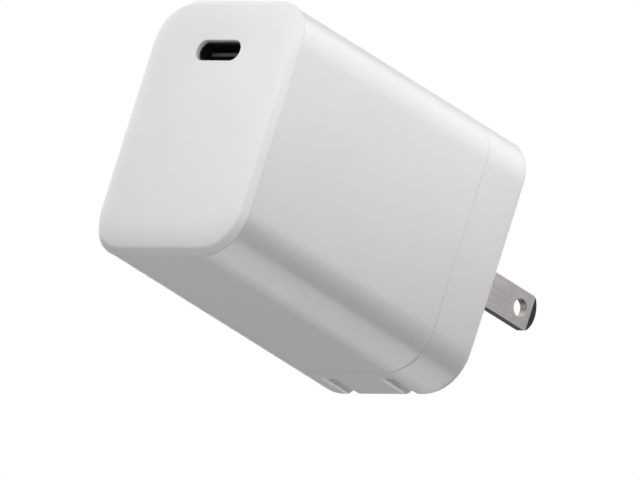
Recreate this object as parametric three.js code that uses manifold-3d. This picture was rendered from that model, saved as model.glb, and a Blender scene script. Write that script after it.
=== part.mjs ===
// Compact plug-in wall charger with one USB-C port and two folding flat blades, drawn open.
// Millimetres. +X right, +Y towards the outlet, +Z up. The origin is the centre of the outlet
// face, midway between the two blades and on their centreline. The body lies behind it, along
// -Y, with the port in its far end; the blades stand out along +Y.
import * as THREE from 'three';
import { mergeVertices } from 'three/addons/utils/BufferGeometryUtils.js';
import Module from 'manifold-3d';

// ---- driving dimensions ----
const BODY_W = 32.3, BODY_H = 43.0, BODY_D = 55.6;   // overall, along X, Z and Y
const CORNER_R = 7.4;                                // corners of the X-Z outline
const REAR_R = 1.65;                                 // fillet round the outlet face
const CHAMFER = 1.0, CROWN = 0.6, CROWN_W = 4.8;     // front cap edge, crown height and width
const FRONT_SEAM = -(BODY_D - CHAMFER - CROWN);      // Y of the seams
const REAR_SEAM = -9.75;
const SEAM_GAP = 0.04;
const WALL = 2.0;
const LAP_INSET = 1.08, LAP_GAP = 0.08, LAP_END_GAP = 0.2;
const FRONT_LAP = 2.5, REAR_LAP = 2.2;               // tongue lengths
const LAP_ROOT = 0.3;                                // overlap of a tongue with its own part

const PORT_W = 9.5, PORT_H = 3.44, PORT_Z = 12.5;

const BLADE_PITCH = 12.7, BLADE_T = 1.5, BLADE_W = 5.8, BLADE_OUT = 18.2;
const BLADE_X = BLADE_PITCH / 2;
const TIP_BEVEL = 1.3, TIP_T = 1.05;                 // bevel length and thickness at the tip
const BLADE_HOLE_R = 1.5, BLADE_HOLE_Y = 14.5;

const PIVOT_Y = -3.0;
const BARREL_R = 1.9, BORE_R = 2.0;
const CAM_R = 2.3, CAM_FLAT = 2.05, CAM_W = 5.0;
const KEY_HALF = 1.25, KEY_GAP = 0.06;               // square core under each blade

const CHANNEL_W = 2.0, CHANNEL_D = 7.0, CHANNEL_TOP = 3.9, CHANNEL_WALL = 0.9;
const RETAINER_Y = -8.8, RETAINER_T = 1.4, SCREW_X = 12.1;
const SPRING_T = 0.35;

const BOARD_Y = [-50.0, -13.0];                      // main board and insulation sheet
const SEAT_X = -11.3, RAISED_SEAT_X = -11.2;         // feet of parts on the main board
const USB_SEAT_Z = 9.3;                              // tops of parts under the USB board

const QUARTER = Math.PI / 2;
const NAMED_SIDES = [['right', 1], ['left', -1]];

const wasm = await Module();
wasm.setup();

// ---- materials ----
const matte = (options) => new THREE.MeshStandardMaterial(options);
const metal = (options) => new THREE.MeshStandardMaterial({ ...options, metalness: 1 });
const finish = {
  shell: matte({ color: 0xdedddb, roughness: 0.42 }),
  frontCap: matte({ color: 0xdfdedc, roughness: 0.4 }),
  rearCover: matte({ color: 0xdcdbd9, roughness: 0.42 }),
  carrier: matte({ color: 0x2b2b2e, roughness: 0.55 }),
  blade: metal({ color: 0xa9a4a1, roughness: 0.3 }),
  retainer: matte({ color: 0xc9c8c5, roughness: 0.5 }),
  screw: metal({ color: 0xb9b9bb, roughness: 0.3 }),
  detentSpring: metal({ color: 0xc8c6c0, roughness: 0.25 }),
  contactSpring: metal({ color: 0xb8894a, roughness: 0.3 }),
  board: matte({ color: 0x1f5a3c, roughness: 0.5 }),
  usbShell: metal({ color: 0xb4b4b6, roughness: 0.28 }),
  black: matte({ color: 0x17171a, roughness: 0.6 }),
  ferrite: matte({ color: 0x2e2d2f, roughness: 0.7 }),
  bobbin: matte({ color: 0x1d1d1f, roughness: 0.6 }),
  winding: matte({ color: 0xd9a520, roughness: 0.45 }),
  chokeCore: matte({ color: 0x2f5d3a, roughness: 0.6 }),
  chokeWinding: metal({ color: 0xb5652b, roughness: 0.35 }),
  xCapacitor: matte({ color: 0xd8b63a, roughness: 0.5 }),
  yCapacitor: matte({ color: 0x2e6fb4, roughness: 0.45 }),
  fuse: matte({ color: 0x54301f, roughness: 0.5 }),
  sleeve: matte({ color: 0x2a2f3a, roughness: 0.4 }),
  polymerCan: metal({ color: 0xc3c4c8, roughness: 0.3 }),
  inductor: matte({ color: 0x4a4a4e, roughness: 0.7 }),
  optocoupler: matte({ color: 0xe8e6df, roughness: 0.5 }),
  insulation: matte({ color: 0xe4dcc0, roughness: 0.3 }),
  spreader: metal({ color: 0xb87333, roughness: 0.35 }),
  lineWire: matte({ color: 0x8f1f1c, roughness: 0.5 }),
  neutralWire: matte({ color: 0x1b1b1d, roughness: 0.5 }),
};

// ---- solid helpers ----
function solid(geometry) {
  geometry.deleteAttribute('normal');
  geometry.deleteAttribute('uv');
  const merged = mergeVertices(geometry, 1e-4);
  return new wasm.Manifold(new wasm.Mesh({
    numProp: 3,
    vertProperties: new Float32Array(merged.attributes.position.array),
    triVerts: new Uint32Array(merged.index.array),
  }));
}

function geometryOf(manifold) {
  const mesh = manifold.getMesh();
  const geometry = new THREE.BufferGeometry();
  const positions = new Float32Array(mesh.vertProperties);
  geometry.setAttribute('position', new THREE.BufferAttribute(positions, 3));
  geometry.setIndex(new THREE.BufferAttribute(new Uint32Array(mesh.triVerts), 1));
  geometry.computeVertexNormals();
  return geometry;
}

const unite = (...parts) => parts.reduce((a, b) => a.add(b));
const cut = (base, ...tools) => tools.reduce((a, b) => a.subtract(b), base);
const bothSides = (make) => [1, -1].map(make);
const span = (width, centre = 0) => [centre - width / 2, centre + width / 2];
const vectors = (points) => points.map(([u, v]) => new THREE.Vector2(u, v));

// Box from its X, Y and Z ranges; the ends of a range may come in either order.
function box(...ranges) {
  const size = ranges.map(([a, b]) => Math.abs(b - a));
  const centre = ranges.map(([a, b]) => (a + b) / 2);
  return solid(new THREE.BoxGeometry(...size).translate(...centre));
}

function cylinderX(radius, [x0, x1], segments, y = 0, z = 0) {
  const geometry = new THREE.CylinderGeometry(radius, radius, x1 - x0, segments);
  return solid(geometry.rotateZ(-QUARTER).translate((x0 + x1) / 2, y, z));
}

function cylinderY(radius, [y0, y1], segments, x = 0) {
  const geometry = new THREE.CylinderGeometry(radius, radius, y1 - y0, segments);
  return solid(geometry.translate(x, (y0 + y1) / 2, 0));
}

// Rounded rectangle, always with the same number of points.
function roundedOutline(width, height, radius, segments) {
  const x = width / 2 - radius;
  const z = height / 2 - radius;
  const shape = new THREE.Shape();
  shape.moveTo(width / 2, -z);
  shape.lineTo(width / 2, z);
  [[x, z], [-x, z], [-x, -z], [x, -z]].forEach(([cornerX, cornerZ], i) => {
    shape.absarc(cornerX, cornerZ, radius, i * QUARTER, (i + 1) * QUARTER);
  });
  return shape.getPoints(segments)
    .filter((point, i, points) => point.distanceTo(points[(i + 1) % points.length]) > 1e-6);
}

// Closed solid through equal X-Z outlines, each {inset, y}, in order of rising Y.
function loft(width, height, radius, sections, segments = 8) {
  const rings = sections.map(({ inset, y }) => (
    roundedOutline(width - 2 * inset, height - 2 * inset, radius - inset, segments)
      .map((point) => [point.x, y, point.y])));
  const count = rings[0].length;
  const last = (rings.length - 1) * count;
  const index = [];
  for (let start = 0; start < last; start += count) {
    for (let i = 0; i < count; i++) {
      const a = start + i;
      const b = start + (i + 1) % count;
      index.push(a, a + count, b, b, a + count, b + count);
    }
  }
  const capOutline = vectors(rings[0].map(([x, , z]) => [x, z]));
  for (const [a, b, c] of THREE.ShapeUtils.triangulateShape(capOutline, [])) {
    index.push(a, b, c, last + a, last + c, last + b);
  }
  const geometry = new THREE.BufferGeometry();
  geometry.setAttribute('position', new THREE.Float32BufferAttribute(rings.flat(2), 3));
  geometry.setIndex(index);
  return solid(geometry);
}

// Prism with the body's outline, drawn in by an inset.
const bodyPrism = (inset, y0, y1) => (
  loft(BODY_W, BODY_H, CORNER_R, [{ inset, y: y0 }, { inset, y: y1 }]));

// Prism with nearly semicircular ends, at the height of the port.
function portPrism(width, height, [y0, y1]) {
  const sections = [{ inset: 0, y: y0 }, { inset: 0, y: y1 }];
  return loft(width, height, height / 2 - 0.01, sections, 5).translate([0, 0, PORT_Z]);
}

// Profile and holes as [y, z] points, extruded along X.
function extrudeX(profile, [x0, x1], holes = []) {
  const shape = new THREE.Shape(vectors(profile));
  shape.holes = holes.map((hole) => new THREE.Path(vectors(hole)));
  const geometry = new THREE.ExtrudeGeometry(shape, { depth: x1 - x0, bevelEnabled: false });
  return solid(geometry.applyMatrix4(new THREE.Matrix4().set(
    0, 0, 1, x0,
    1, 0, 0, 0,
    0, 1, 0, 0,
    0, 0, 0, 1,
  )));
}

// Bent spring strip whose centreline is a smooth curve through [y, z] points.
function springStrip(points, width) {
  const steps = 18;
  const stations = points.map(([y, z]) => new THREE.Vector3(y, z, 0));
  const curve = new THREE.CatmullRomCurve3(stations, false, 'centripetal');
  const left = [];
  const right = [];
  for (let i = 0; i <= steps; i++) {
    const point = curve.getPointAt(i / steps);
    const tangent = curve.getTangentAt(i / steps);
    const dy = tangent.y * SPRING_T / 2;
    const dz = tangent.x * SPRING_T / 2;
    left.push([point.x - dy, point.y + dz]);
    right.push([point.x + dy, point.y - dz]);
  }
  return extrudeX([...left, ...right.reverse()], span(width));
}

// Points along an arc, both ends included.
function arc(centreX, centreY, radius, from, to, steps) {
  return Array.from({ length: steps + 1 }, (_, i) => {
    const angle = from + (to - from) * i / steps;
    return [centreX + radius * Math.cos(angle), centreY + radius * Math.sin(angle)];
  });
}
const circle = (centreX, radius, sides) => (
  arc(centreX, 0, radius, 0, 2 * Math.PI, sides).slice(0, -1));

// Round wire swept along a curve.
function sweep(extrudePath, radius, sides, steps) {
  const shape = new THREE.Shape(vectors(circle(0, radius, sides)));
  return solid(new THREE.ExtrudeGeometry(shape, { steps, bevelEnabled: false, extrudePath }));
}

// Turned solid about Y from [radius, y] points.
const lathe = (profile, segments) => solid(new THREE.LatheGeometry(vectors(profile), segments));

// Block standing on the X-Y plane, with rounded vertical edges.
function roundedBlock(width, depth, height, radius) {
  const shape = new THREE.Shape(roundedOutline(width, depth, radius, 3));
  return solid(new THREE.ExtrudeGeometry(shape, { depth: height, bevelEnabled: false }));
}

// ---- scene graph ----
const charger = new THREE.Group();
const housing = new THREE.Group();
const power = new THREE.Group();
const prongs = new THREE.Group();
charger.add(housing, power, prongs);

function add(group, name, manifold, material, position = [0, 0, 0], rotation = [0, 0, 0]) {
  const mesh = new THREE.Mesh(geometryOf(manifold), material);
  mesh.name = name;
  mesh.position.set(...position);
  mesh.rotation.set(...rotation);
  group.add(mesh);
}

// ---- main shell: a tube, rebated at both ends for the cap and the cover ----
function mainShell() {
  const rebate = LAP_INSET - LAP_GAP;
  const tube = cut(
    bodyPrism(0, FRONT_SEAM, REAR_SEAM - SEAM_GAP),
    bodyPrism(WALL, FRONT_SEAM - 1, REAR_SEAM + 1),
    bodyPrism(rebate, FRONT_SEAM - 1, FRONT_SEAM + FRONT_LAP + LAP_END_GAP),
    bodyPrism(rebate, REAR_SEAM - REAR_LAP - LAP_END_GAP, REAR_SEAM + 1),
  );
  // one rib beside each long edge of the main board, rooted 0.1 into the wall
  const root = BODY_H / 2 - WALL + 0.1;
  return unite(tube, ...bothSides((side) => (
    box([-10.9, -9.9], [-50.4, -13.2], [side * 16.0, side * root]))));
}
add(housing, 'main_shell', mainShell(), finish.shell);

// ---- front cap: chamfered edge, soft crown, port opening, lap tongue ----
function frontCap() {
  const crownSteps = 4;
  const sections = [{ inset: 0, y: FRONT_SEAM - SEAM_GAP }];
  for (let i = 0; i <= crownSteps; i++) {
    const t = i / crownSteps;
    const rise = CROWN * (1 - (1 - t) ** 2);
    sections.push({ inset: CHAMFER + CROWN_W * t, y: FRONT_SEAM - CHAMFER - rise });
  }
  const cap = cut(
    unite(
      loft(BODY_W, BODY_H, CORNER_R, sections.reverse()),
      bodyPrism(LAP_INSET, FRONT_SEAM - LAP_ROOT, FRONT_SEAM + FRONT_LAP),
    ),
    bodyPrism(WALL, FRONT_SEAM + 0.6, FRONT_SEAM + 4),
    portPrism(PORT_W, PORT_H, [-60, -50]),
  );
  // two upright ribs that stiffen the cap below the port
  return unite(cap, ...bothSides((side) => (
    box(span(1, side * -6), [FRONT_SEAM, FRONT_SEAM + 2.2], [-19.0, 7.5]))));
}
add(housing, 'front_cap', frontCap(), finish.frontCap);

// ---- rear cover: outlet face, two blade channels, axle seats, screw bosses ----
function rearCoverBlank() {
  const filletSteps = 4;
  const sections = [{ inset: 0, y: REAR_SEAM }];
  for (let i = 0; i <= filletSteps; i++) {
    const angle = QUARTER * i / filletSteps;
    sections.push({
      inset: REAR_R * (1 - Math.cos(angle)),
      y: -REAR_R + REAR_R * Math.sin(angle),
    });
  }
  return cut(
    unite(
      loft(BODY_W, BODY_H, CORNER_R, sections),
      bodyPrism(LAP_INSET, REAR_SEAM - REAR_LAP, REAR_SEAM + LAP_ROOT),
    ),
    bodyPrism(WALL, REAR_SEAM - 4, -WALL),
  );
}

function rearCover() {
  const rootY = -WALL + 0.5;                          // inside the outlet wall
  const casing = CHANNEL_W + 2 * CHANNEL_WALL;
  const seatX = [-10.6, 10.6];
  const additions = bothSides((side) => unite(
    // channel casing: closed behind the folded blade, open behind the axle
    box(span(casing, side * BLADE_X), [-CHANNEL_D - CHANNEL_WALL, rootY], [-20.2, -5.0]),
    box(span(casing, side * BLADE_X), [-CHANNEL_D, rootY], [-6.0, CHANNEL_TOP + CHANNEL_WALL]),
    // ledge that carries the foot of the contact spring
    box(span(3.2, side * BLADE_X), [-8.25, rootY], [7.4, 10.2]),
    // screw boss beside the axle end
    cylinderY(1.75, [RETAINER_Y + 0.05, rootY], 20, side * SCREW_X),
  ));
  const channels = bothSides((side) => (
    box(span(CHANNEL_W, side * BLADE_X), [-CHANNEL_D, 1], [-23, CHANNEL_TOP])));
  const pilotHoles = bothSides((side) => (
    cylinderY(0.85, [RETAINER_Y - 1, -2.6], 14, side * SCREW_X)));
  return cut(
    unite(rearCoverBlank(), ...additions),
    ...pilotHoles,
    ...channels,
    // open-backed axle seats across all four channel walls, and room for the cam
    cylinderX(BORE_R, seatX, 36, PIVOT_Y),
    box(seatX, [-10, PIVOT_Y], span(2 * BORE_R)),
    cylinderX(CAM_R + 0.13, span(5.6), 36, PIVOT_Y),
  );
}
add(housing, 'rear_cover', rearCover(), finish.rearCover);

// ---- folding prong set: one carrier and two blades, all turning on one axis ----
prongs.position.set(0, PIVOT_Y, 0);

function bladeCarrier() {
  // detent cam: rounded, with flats on its -Y and -Z sides
  const cam = cut(
    cylinderX(CAM_R, span(CAM_W), 32),
    box(span(6), [-4, -CAM_FLAT], span(8)),
    box(span(6), span(8), [-4, -CAM_FLAT]),
  );
  // square core where each blade is keyed on
  const keySeats = bothSides((side) => cut(
    box(span(BLADE_T + 0.1, side * BLADE_X), span(6), span(6)),
    box(span(BLADE_T + 2.1, side * BLADE_X), span(2 * KEY_HALF), span(2 * KEY_HALF)),
  ));
  return cut(unite(cylinderX(BARREL_R, [-10.2, 10.2], 32), cam), ...keySeats);
}
add(prongs, 'blade_carrier', bladeCarrier(), finish.carrier);

// Round tail on the axle, straight sides, and a shallow arc across the tip.
function bladeBlank(tip) {
  const half = BLADE_W / 2;
  const tipR = 3.7;
  const joinR = 1.1;                                  // joins the tip arc to each side
  const joinAngle = Math.asin((half - joinR) / (tipR - joinR));
  const tipCentre = tip - tipR;
  const joinY = tipCentre + (tipR - joinR) * Math.cos(joinAngle);
  const profile = [
    ...arc(0, 0, half, -QUARTER, -3 * QUARTER, 14),
    ...arc(joinY, half - joinR, joinR, QUARTER, joinAngle, 4),
    ...arc(tipCentre, 0, tipR, joinAngle, -joinAngle, 8).slice(1, -1),
    ...arc(joinY, -half + joinR, joinR, -joinAngle, -QUARTER, 4),
  ];
  const key = KEY_HALF + KEY_GAP;
  const keyHole = [[key, key], [-key, key], [-key, -key], [key, -key]];
  const roundHole = circle(BLADE_HOLE_Y - PIVOT_Y, BLADE_HOLE_R, 20);
  return extrudeX(profile, span(BLADE_T), [keyHole, roundHole]);
}

// Cutter that bevels one face at the tip, drawn in X and Y.
function tipWedge(side, tip) {
  const height = 8;
  const far = side * 2;
  const wedge = new THREE.Shape(vectors([
    [side * BLADE_T / 2, tip - TIP_BEVEL],
    [side * TIP_T / 2, tip + 0.001],
    [side * TIP_T / 2, tip + 1],
    [far, tip + 1],
    [far, tip - TIP_BEVEL],
  ]));
  const geometry = new THREE.ExtrudeGeometry(wedge, { depth: height, bevelEnabled: false });
  return solid(geometry.translate(0, 0, -height / 2));
}

const bladeTip = BLADE_OUT - PIVOT_Y;
const blade = cut(bladeBlank(bladeTip), ...bothSides((side) => tipWedge(side, bladeTip)));
for (const [name, side] of NAMED_SIDES) {
  add(prongs, `blade_${name}`, blade, finish.blade, [side * BLADE_X, 0, 0]);
}

// ---- retainer that closes the axle seats, and its screws ----
function carrierRetainer() {
  const through = [-12, -8];
  const plate = box(span(27.2), [RETAINER_Y - RETAINER_T, RETAINER_Y], span(6.4));
  const legs = bothSides((side) => (
    box([side * 8.6, side * 10.1], [RETAINER_Y - 0.5, -4.2], span(3.7))));
  const screwHoles = bothSides((side) => cylinderY(1.1, through, 16, side * SCREW_X));
  const windows = bothSides((side) => box(span(3, side * BLADE_X), through, [-2.2, 4]));
  const bore = cylinderX(BORE_R, [-11, 11], 36, PIVOT_Y);
  return cut(unite(plate, ...legs), ...screwHoles, ...windows, bore);
}
add(housing, 'carrier_retainer', carrierRetainer(), finish.retainer);

function retainerScrew() {
  const recessY = [-12, -10.85];
  return cut(
    unite(
      cylinderY(0.75, [-11.2, -3.2], 14),
      cylinderY(1.6, [-11.3, RETAINER_Y - RETAINER_T - 0.05], 20),
    ),
    box(span(2), recessY, span(0.44)),
    box(span(0.44), recessY, span(2)),
  );
}
for (const [name, side] of NAMED_SIDES) {
  add(housing, `retainer_screw_${name}`, retainerScrew(), finish.screw, [side * SCREW_X, 0, 0]);
}

// ---- springs, centrelines as [y, z] ----
// leaf that clicks on the carrier's flats, drawn pushed back by the cam
const DETENT_LINE = [
  [-8.55, -5.2], [-8.5, -3.4], [-6.9, -1.6], [-5.68, 0], [-6.9, 1.6], [-8.5, 3.4], [-8.55, 5.2],
];
const CONTACT_LINE = [
  [-8.56, 10.0], [-8.56, 7.2], [-8.5, 5.6], [-8.15, 4.0],
  [-6.9, 2.2], [-6.27, 0.8], [-6.25, -0.2], [-6.45, -1.2],
];
add(housing, 'detent_spring', springStrip(DETENT_LINE, 4.2), finish.detentSpring);
for (const [name, side] of NAMED_SIDES) {
  add(housing, `contact_spring_${name}`, springStrip(CONTACT_LINE, 1.4), finish.contactSpring,
    [side * BLADE_X, 0, 0]);
}

// ---- boards ----
const mainBoard = cut(
  box([-12.6, -11.4], BOARD_Y, span(34)),
  ...bothSides((side) => cylinderX(1.0, [-14, -10], 14, -47.5, side * 14.5)),
);
// slots take the legs of the port shell
const usbBoard = cut(
  box([-11.2, 9.0], [-51.0, -37.0], [9.4, 10.4]),
  ...bothSides((side) => box([side * 4.0, side * 5.2], [-49.6, -48.2], [9, 11])),
);
add(power, 'main_board', mainBoard, finish.board);
add(power, 'usb_board', usbBoard, finish.board);

// ---- port: metal shell with two legs, and the tongue with its stepped base ----
function usbShell() {
  const width = 8.94, height = 3.2, wall = 0.3;
  const legs = bothSides((side) => (
    box(span(0.8, side * 4.5), [-49.3, -48.5], [8.9, PORT_Z - 0.2])));
  return cut(
    unite(portPrism(width, height, [-54.7, -47.6]), ...legs),
    portPrism(width - 2 * wall, height - 2 * wall, [-56, -47]),
  );
}
add(power, 'usb_shell', usbShell(), finish.usbShell);
add(power, 'usb_tongue', unite(
  portPrism(8.2, 2.46, [-49.4, -47.8]),
  box(span(6.7), [-53.8, -49.0], span(0.7, PORT_Z)),
  portPrism(7.4, 1.7, [-50.0, -49.2]),
), finish.black);

// ---- transformer: two core halves, bobbin, winding, all about a centre on the X axis ----
const TRANSFORMER_AT = [-3.35, -31.0, -6.6];

// Half towards the main board: an open frame with a round centre post.
function coreHalf() {
  const pocket = cut(box([-4.4, 1], span(11.8), span(16)), cylinderX(3.2, [-5, 2], 24));
  return cut(box([-7.0, -0.06], span(17), span(14.8)), pocket);
}

function bobbin() {
  const lowFlange = [-4.2, -3.6];
  const body = unite(
    cylinderX(4.0, [-4.2, 4.2], 24),
    cylinderX(5.6, lowFlange, 24),
    cylinderX(5.6, [3.6, 4.2], 24),
    box(lowFlange, span(9.2), span(17.2)),
    ...bothSides((side) => box([-7.9, -3.6], span(9.2), [side * 7.7, side * 8.9])),
  );
  return cut(body, cylinderX(3.45, [-6, 6], 24));
}

const WINDING_PROFILE = [
  [4.1, -3.5], [5.3, -3.5], [5.5, -3.2], [5.5, 3.2], [5.3, 3.5], [4.1, 3.5], [4.1, -3.5],
];
add(power, 'transformer_core_lower', coreHalf(), finish.ferrite, TRANSFORMER_AT);
add(power, 'transformer_core_upper', coreHalf(), finish.ferrite, TRANSFORMER_AT, [0, 0, Math.PI]);
add(power, 'transformer_bobbin', bobbin(), finish.bobbin, TRANSFORMER_AT);
add(power, 'transformer_winding', lathe(WINDING_PROFILE, 24), finish.winding,
  TRANSFORMER_AT, [0, 0, QUARTER]);

// ---- mains filter choke: ring core with one winding on each half ----
const CHOKE_AT = [-5.6, -18.2, 8.6];
const CHOKE_R = 3.3;

class TurnsCurve extends THREE.Curve {
  getPoint(t, out = new THREE.Vector3()) {
    const turns = 7, coilR = 1.85;
    const around = THREE.MathUtils.degToRad(18 + 144 * t);
    const turn = 2 * Math.PI * turns * t + QUARTER;
    const r = CHOKE_R + coilR * Math.cos(turn);
    return out.set(r * Math.cos(around), coilR * Math.sin(turn), r * Math.sin(around));
  }
}
const chokeCore = solid(new THREE.TorusGeometry(CHOKE_R, 1.35, 8, 22).rotateX(QUARTER));
const chokeTurns = sweep(new TurnsCurve(), 0.34, 5, 56);
add(power, 'choke_core', chokeCore, finish.chokeCore, CHOKE_AT);
add(power, 'choke_winding_upper', chokeTurns, finish.chokeWinding, CHOKE_AT);
add(power, 'choke_winding_lower', chokeTurns, finish.chokeWinding, CHOKE_AT, [0, Math.PI, 0]);

// ---- parts standing on the main board ----
const ON_BOARD = [QUARTER, QUARTER, 0];               // turns local X, Y, Z to Y, Z, X
const Y_CAPACITOR_PROFILE = [[0, -1.1], [3.0, -1.1], [3.4, -0.6], [3.4, 0.6], [3.0, 1.1], [0, 1.1]];
const FUSE_PROFILE = [[0, 0], [1.9, 0], [2.0, 0.3], [2.0, 6.6], [1.7, 7.0], [0, 7.0]];
add(power, 'x_capacitor', roundedBlock(5.2, 12.4, 9.4, 0.5), finish.xCapacitor,
  [RAISED_SEAT_X, -18.6, -8.2], ON_BOARD);
add(power, 'y_capacitor', lathe(Y_CAPACITOR_PROFILE, 22), finish.yCapacitor, [-7.3, -44.2, -6.0]);
add(power, 'fuse', lathe(FUSE_PROFILE, 20), finish.fuse,
  [RAISED_SEAT_X, -27.6, 13.4], [0, 0, -QUARTER]);
add(power, 'bridge_rectifier', roundedBlock(4.4, 7.6, 2.2, 0.3), finish.black,
  [SEAT_X, -24.6, 6.6], ON_BOARD);

// ---- storage and output capacitors: cans with a groove near the foot ----
const can = (radius, length) => lathe([
  [0, 0], [radius - 0.35, 0], [radius, 0.35],
  [radius, 1.6], [radius - 0.4, 2.0], [radius, 2.4],
  [radius, length - 0.4], [radius - 0.5, length], [0, length],
], 18);
const HANGING = [-QUARTER, 0, 0];                     // turns local Y to -Z
add(power, 'bulk_capacitor_lower', can(4.5, 27), finish.sleeve, [8.35, -48.5, -13.4]);
add(power, 'bulk_capacitor_upper', can(4.4, 24), finish.sleeve, [8.3, -48.5, -4.2]);
add(power, 'output_capacitor_left', can(3.1, 6.2), finish.polymerCan,
  [-2.0, -41.0, USB_SEAT_Z], HANGING);
add(power, 'output_capacitor_right', can(3.1, 6.2), finish.polymerCan,
  [5.2, -41.4, USB_SEAT_Z], HANGING);

// block with a step along both lower edges
const INDUCTOR_H = 3.0;
const inductor = cut(
  box(span(5.8), span(6.2), [0, INDUCTOR_H]),
  ...bothSides((side) => box(span(8), [side * 2.7, side * 4], [-1, 0.5])),
);
add(power, 'output_inductor', inductor, finish.inductor, [-8.0, -47.0, USB_SEAT_Z - INDUCTOR_H]);

// ---- semiconductors ----
const CHIP_X = [SEAT_X, -10.4];
add(power, 'primary_switch', box(CHIP_X, [-36.0, -28.0], [4.0, 10.0]), finish.black);
add(power, 'sync_rectifier', box(CHIP_X, [-44.0, -39.0], [1.0, 6.0]), finish.black);
add(power, 'optocoupler', roundedBlock(4.6, 6.4, 2.1, 0.3), finish.optocoupler,
  [SEAT_X, -44.5, -12.2], ON_BOARD);
add(power, 'pd_controller', box(span(4), [-50.0, -46.0], [8.5, USB_SEAT_Z]), finish.black);

// ---- insulation and heat spreader between the main board and the -X wall ----
add(power, 'insulation_sheet', box([-13.1, -12.9], BOARD_Y, span(28.8)), finish.insulation);
add(power, 'heat_spreader', box([-13.8, -13.3], [-48.0, -15.0], span(26.4)), finish.spreader);

// ---- mains wires from the contact springs to the main board, as [x, y, z] ----
const LINE_PATH = [
  [6.35, -9.5, 9.0], [5.6, -11.2, 10.2], [1.5, -12.6, 13.4],
  [-5.0, -13.0, 15.6], [-9.0, -14.6, 15.2], [-10.8, -16.0, 14.8],
];
const NEUTRAL_PATH = [
  [-6.35, -9.5, 9.0], [-7.0, -11.4, 7.4], [-8.4, -13.0, 2.0],
  [-10.0, -14.0, -0.4], [-10.8, -14.9, -1.2],
];
function wire(points) {
  const stations = points.map((point) => new THREE.Vector3(...point));
  return sweep(new THREE.CatmullRomCurve3(stations, false, 'centripetal'), 0.6, 6, 18);
}
add(power, 'line_wire', wire(LINE_PATH), finish.lineWire);
add(power, 'neutral_wire', wire(NEUTRAL_PATH), finish.neutralWire);

export default charger;
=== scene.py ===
"""Looks of a compact plug-in wall charger with a USB-C port and two folding blades.
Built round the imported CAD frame. Lengths in the code are millimetres in the row frame
(+X right, +Y to the outlet, +Z up), written to Blender in metres."""
import bpy, bmesh, math
import numpy as np
from mathutils import Matrix, Vector


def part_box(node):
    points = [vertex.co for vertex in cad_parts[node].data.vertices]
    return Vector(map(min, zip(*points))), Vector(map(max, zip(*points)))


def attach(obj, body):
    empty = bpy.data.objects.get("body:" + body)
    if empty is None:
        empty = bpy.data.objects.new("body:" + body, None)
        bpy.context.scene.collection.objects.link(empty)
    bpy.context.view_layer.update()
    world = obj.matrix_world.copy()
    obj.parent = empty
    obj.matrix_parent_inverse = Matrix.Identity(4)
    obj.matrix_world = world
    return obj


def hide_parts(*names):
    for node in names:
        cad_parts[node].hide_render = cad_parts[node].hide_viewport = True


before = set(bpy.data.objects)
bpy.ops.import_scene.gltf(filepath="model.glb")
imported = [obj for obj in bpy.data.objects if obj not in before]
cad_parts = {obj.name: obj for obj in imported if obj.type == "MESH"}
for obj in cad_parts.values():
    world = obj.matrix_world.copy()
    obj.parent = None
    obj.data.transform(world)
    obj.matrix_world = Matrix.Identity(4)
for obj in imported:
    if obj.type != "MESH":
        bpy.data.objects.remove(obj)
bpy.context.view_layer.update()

SCENE = bpy.context.scene

# ------------------------------------------------------------------ dimensions
W, H, D = 32.3, 43.0, 55.6
SEAM_F, SEAM_R = -54.0, -9.75
CHAMFER, CROWN, CROWN_W, CROWN_P = 1.0, 0.6, 4.8, 2.7
REAR_R = 1.65
PORT_W, PORT_H, PORT_Z = 9.42, 3.38, 12.5
BX, PIVOT = 6.35, -3.0
BLADE_T, BLADE_W, BLADE_OUT = 1.5, 5.8, 18.2
HOLE_Y, HOLE_R, TIP_BEVEL, TIP_T = 14.5, 1.46, 1.3, 1.05
BARREL_R, CAM_R, CAM_FLAT, BORE_R = 1.9, 2.3, 2.05, 2.0
SLOT_W, SLOT_D, SLOT_TOP = 2.0, 7.0, 3.9


# ------------------------------------------------------------------ mesh helpers
def obj_from_bm(name, bm, smooth_angle=32.0):
    me = bpy.data.meshes.new(name)
    bmesh.ops.remove_doubles(bm, verts=bm.verts, dist=1e-5)
    bmesh.ops.recalc_face_normals(bm, faces=bm.faces)
    bmesh.ops.scale(bm, vec=(0.001, 0.001, 0.001), verts=bm.verts)
    bm.to_mesh(me); bm.free()
    ob = bpy.data.objects.new(name, me)
    SCENE.collection.objects.link(ob)
    shade(ob, smooth_angle)
    return ob


def shade(ob, angle=32.0):
    me = ob.data
    me.polygons.foreach_set("use_smooth", [True] * len(me.polygons))
    me.set_sharp_from_angle(angle=math.radians(angle))
    me.update()


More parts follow.
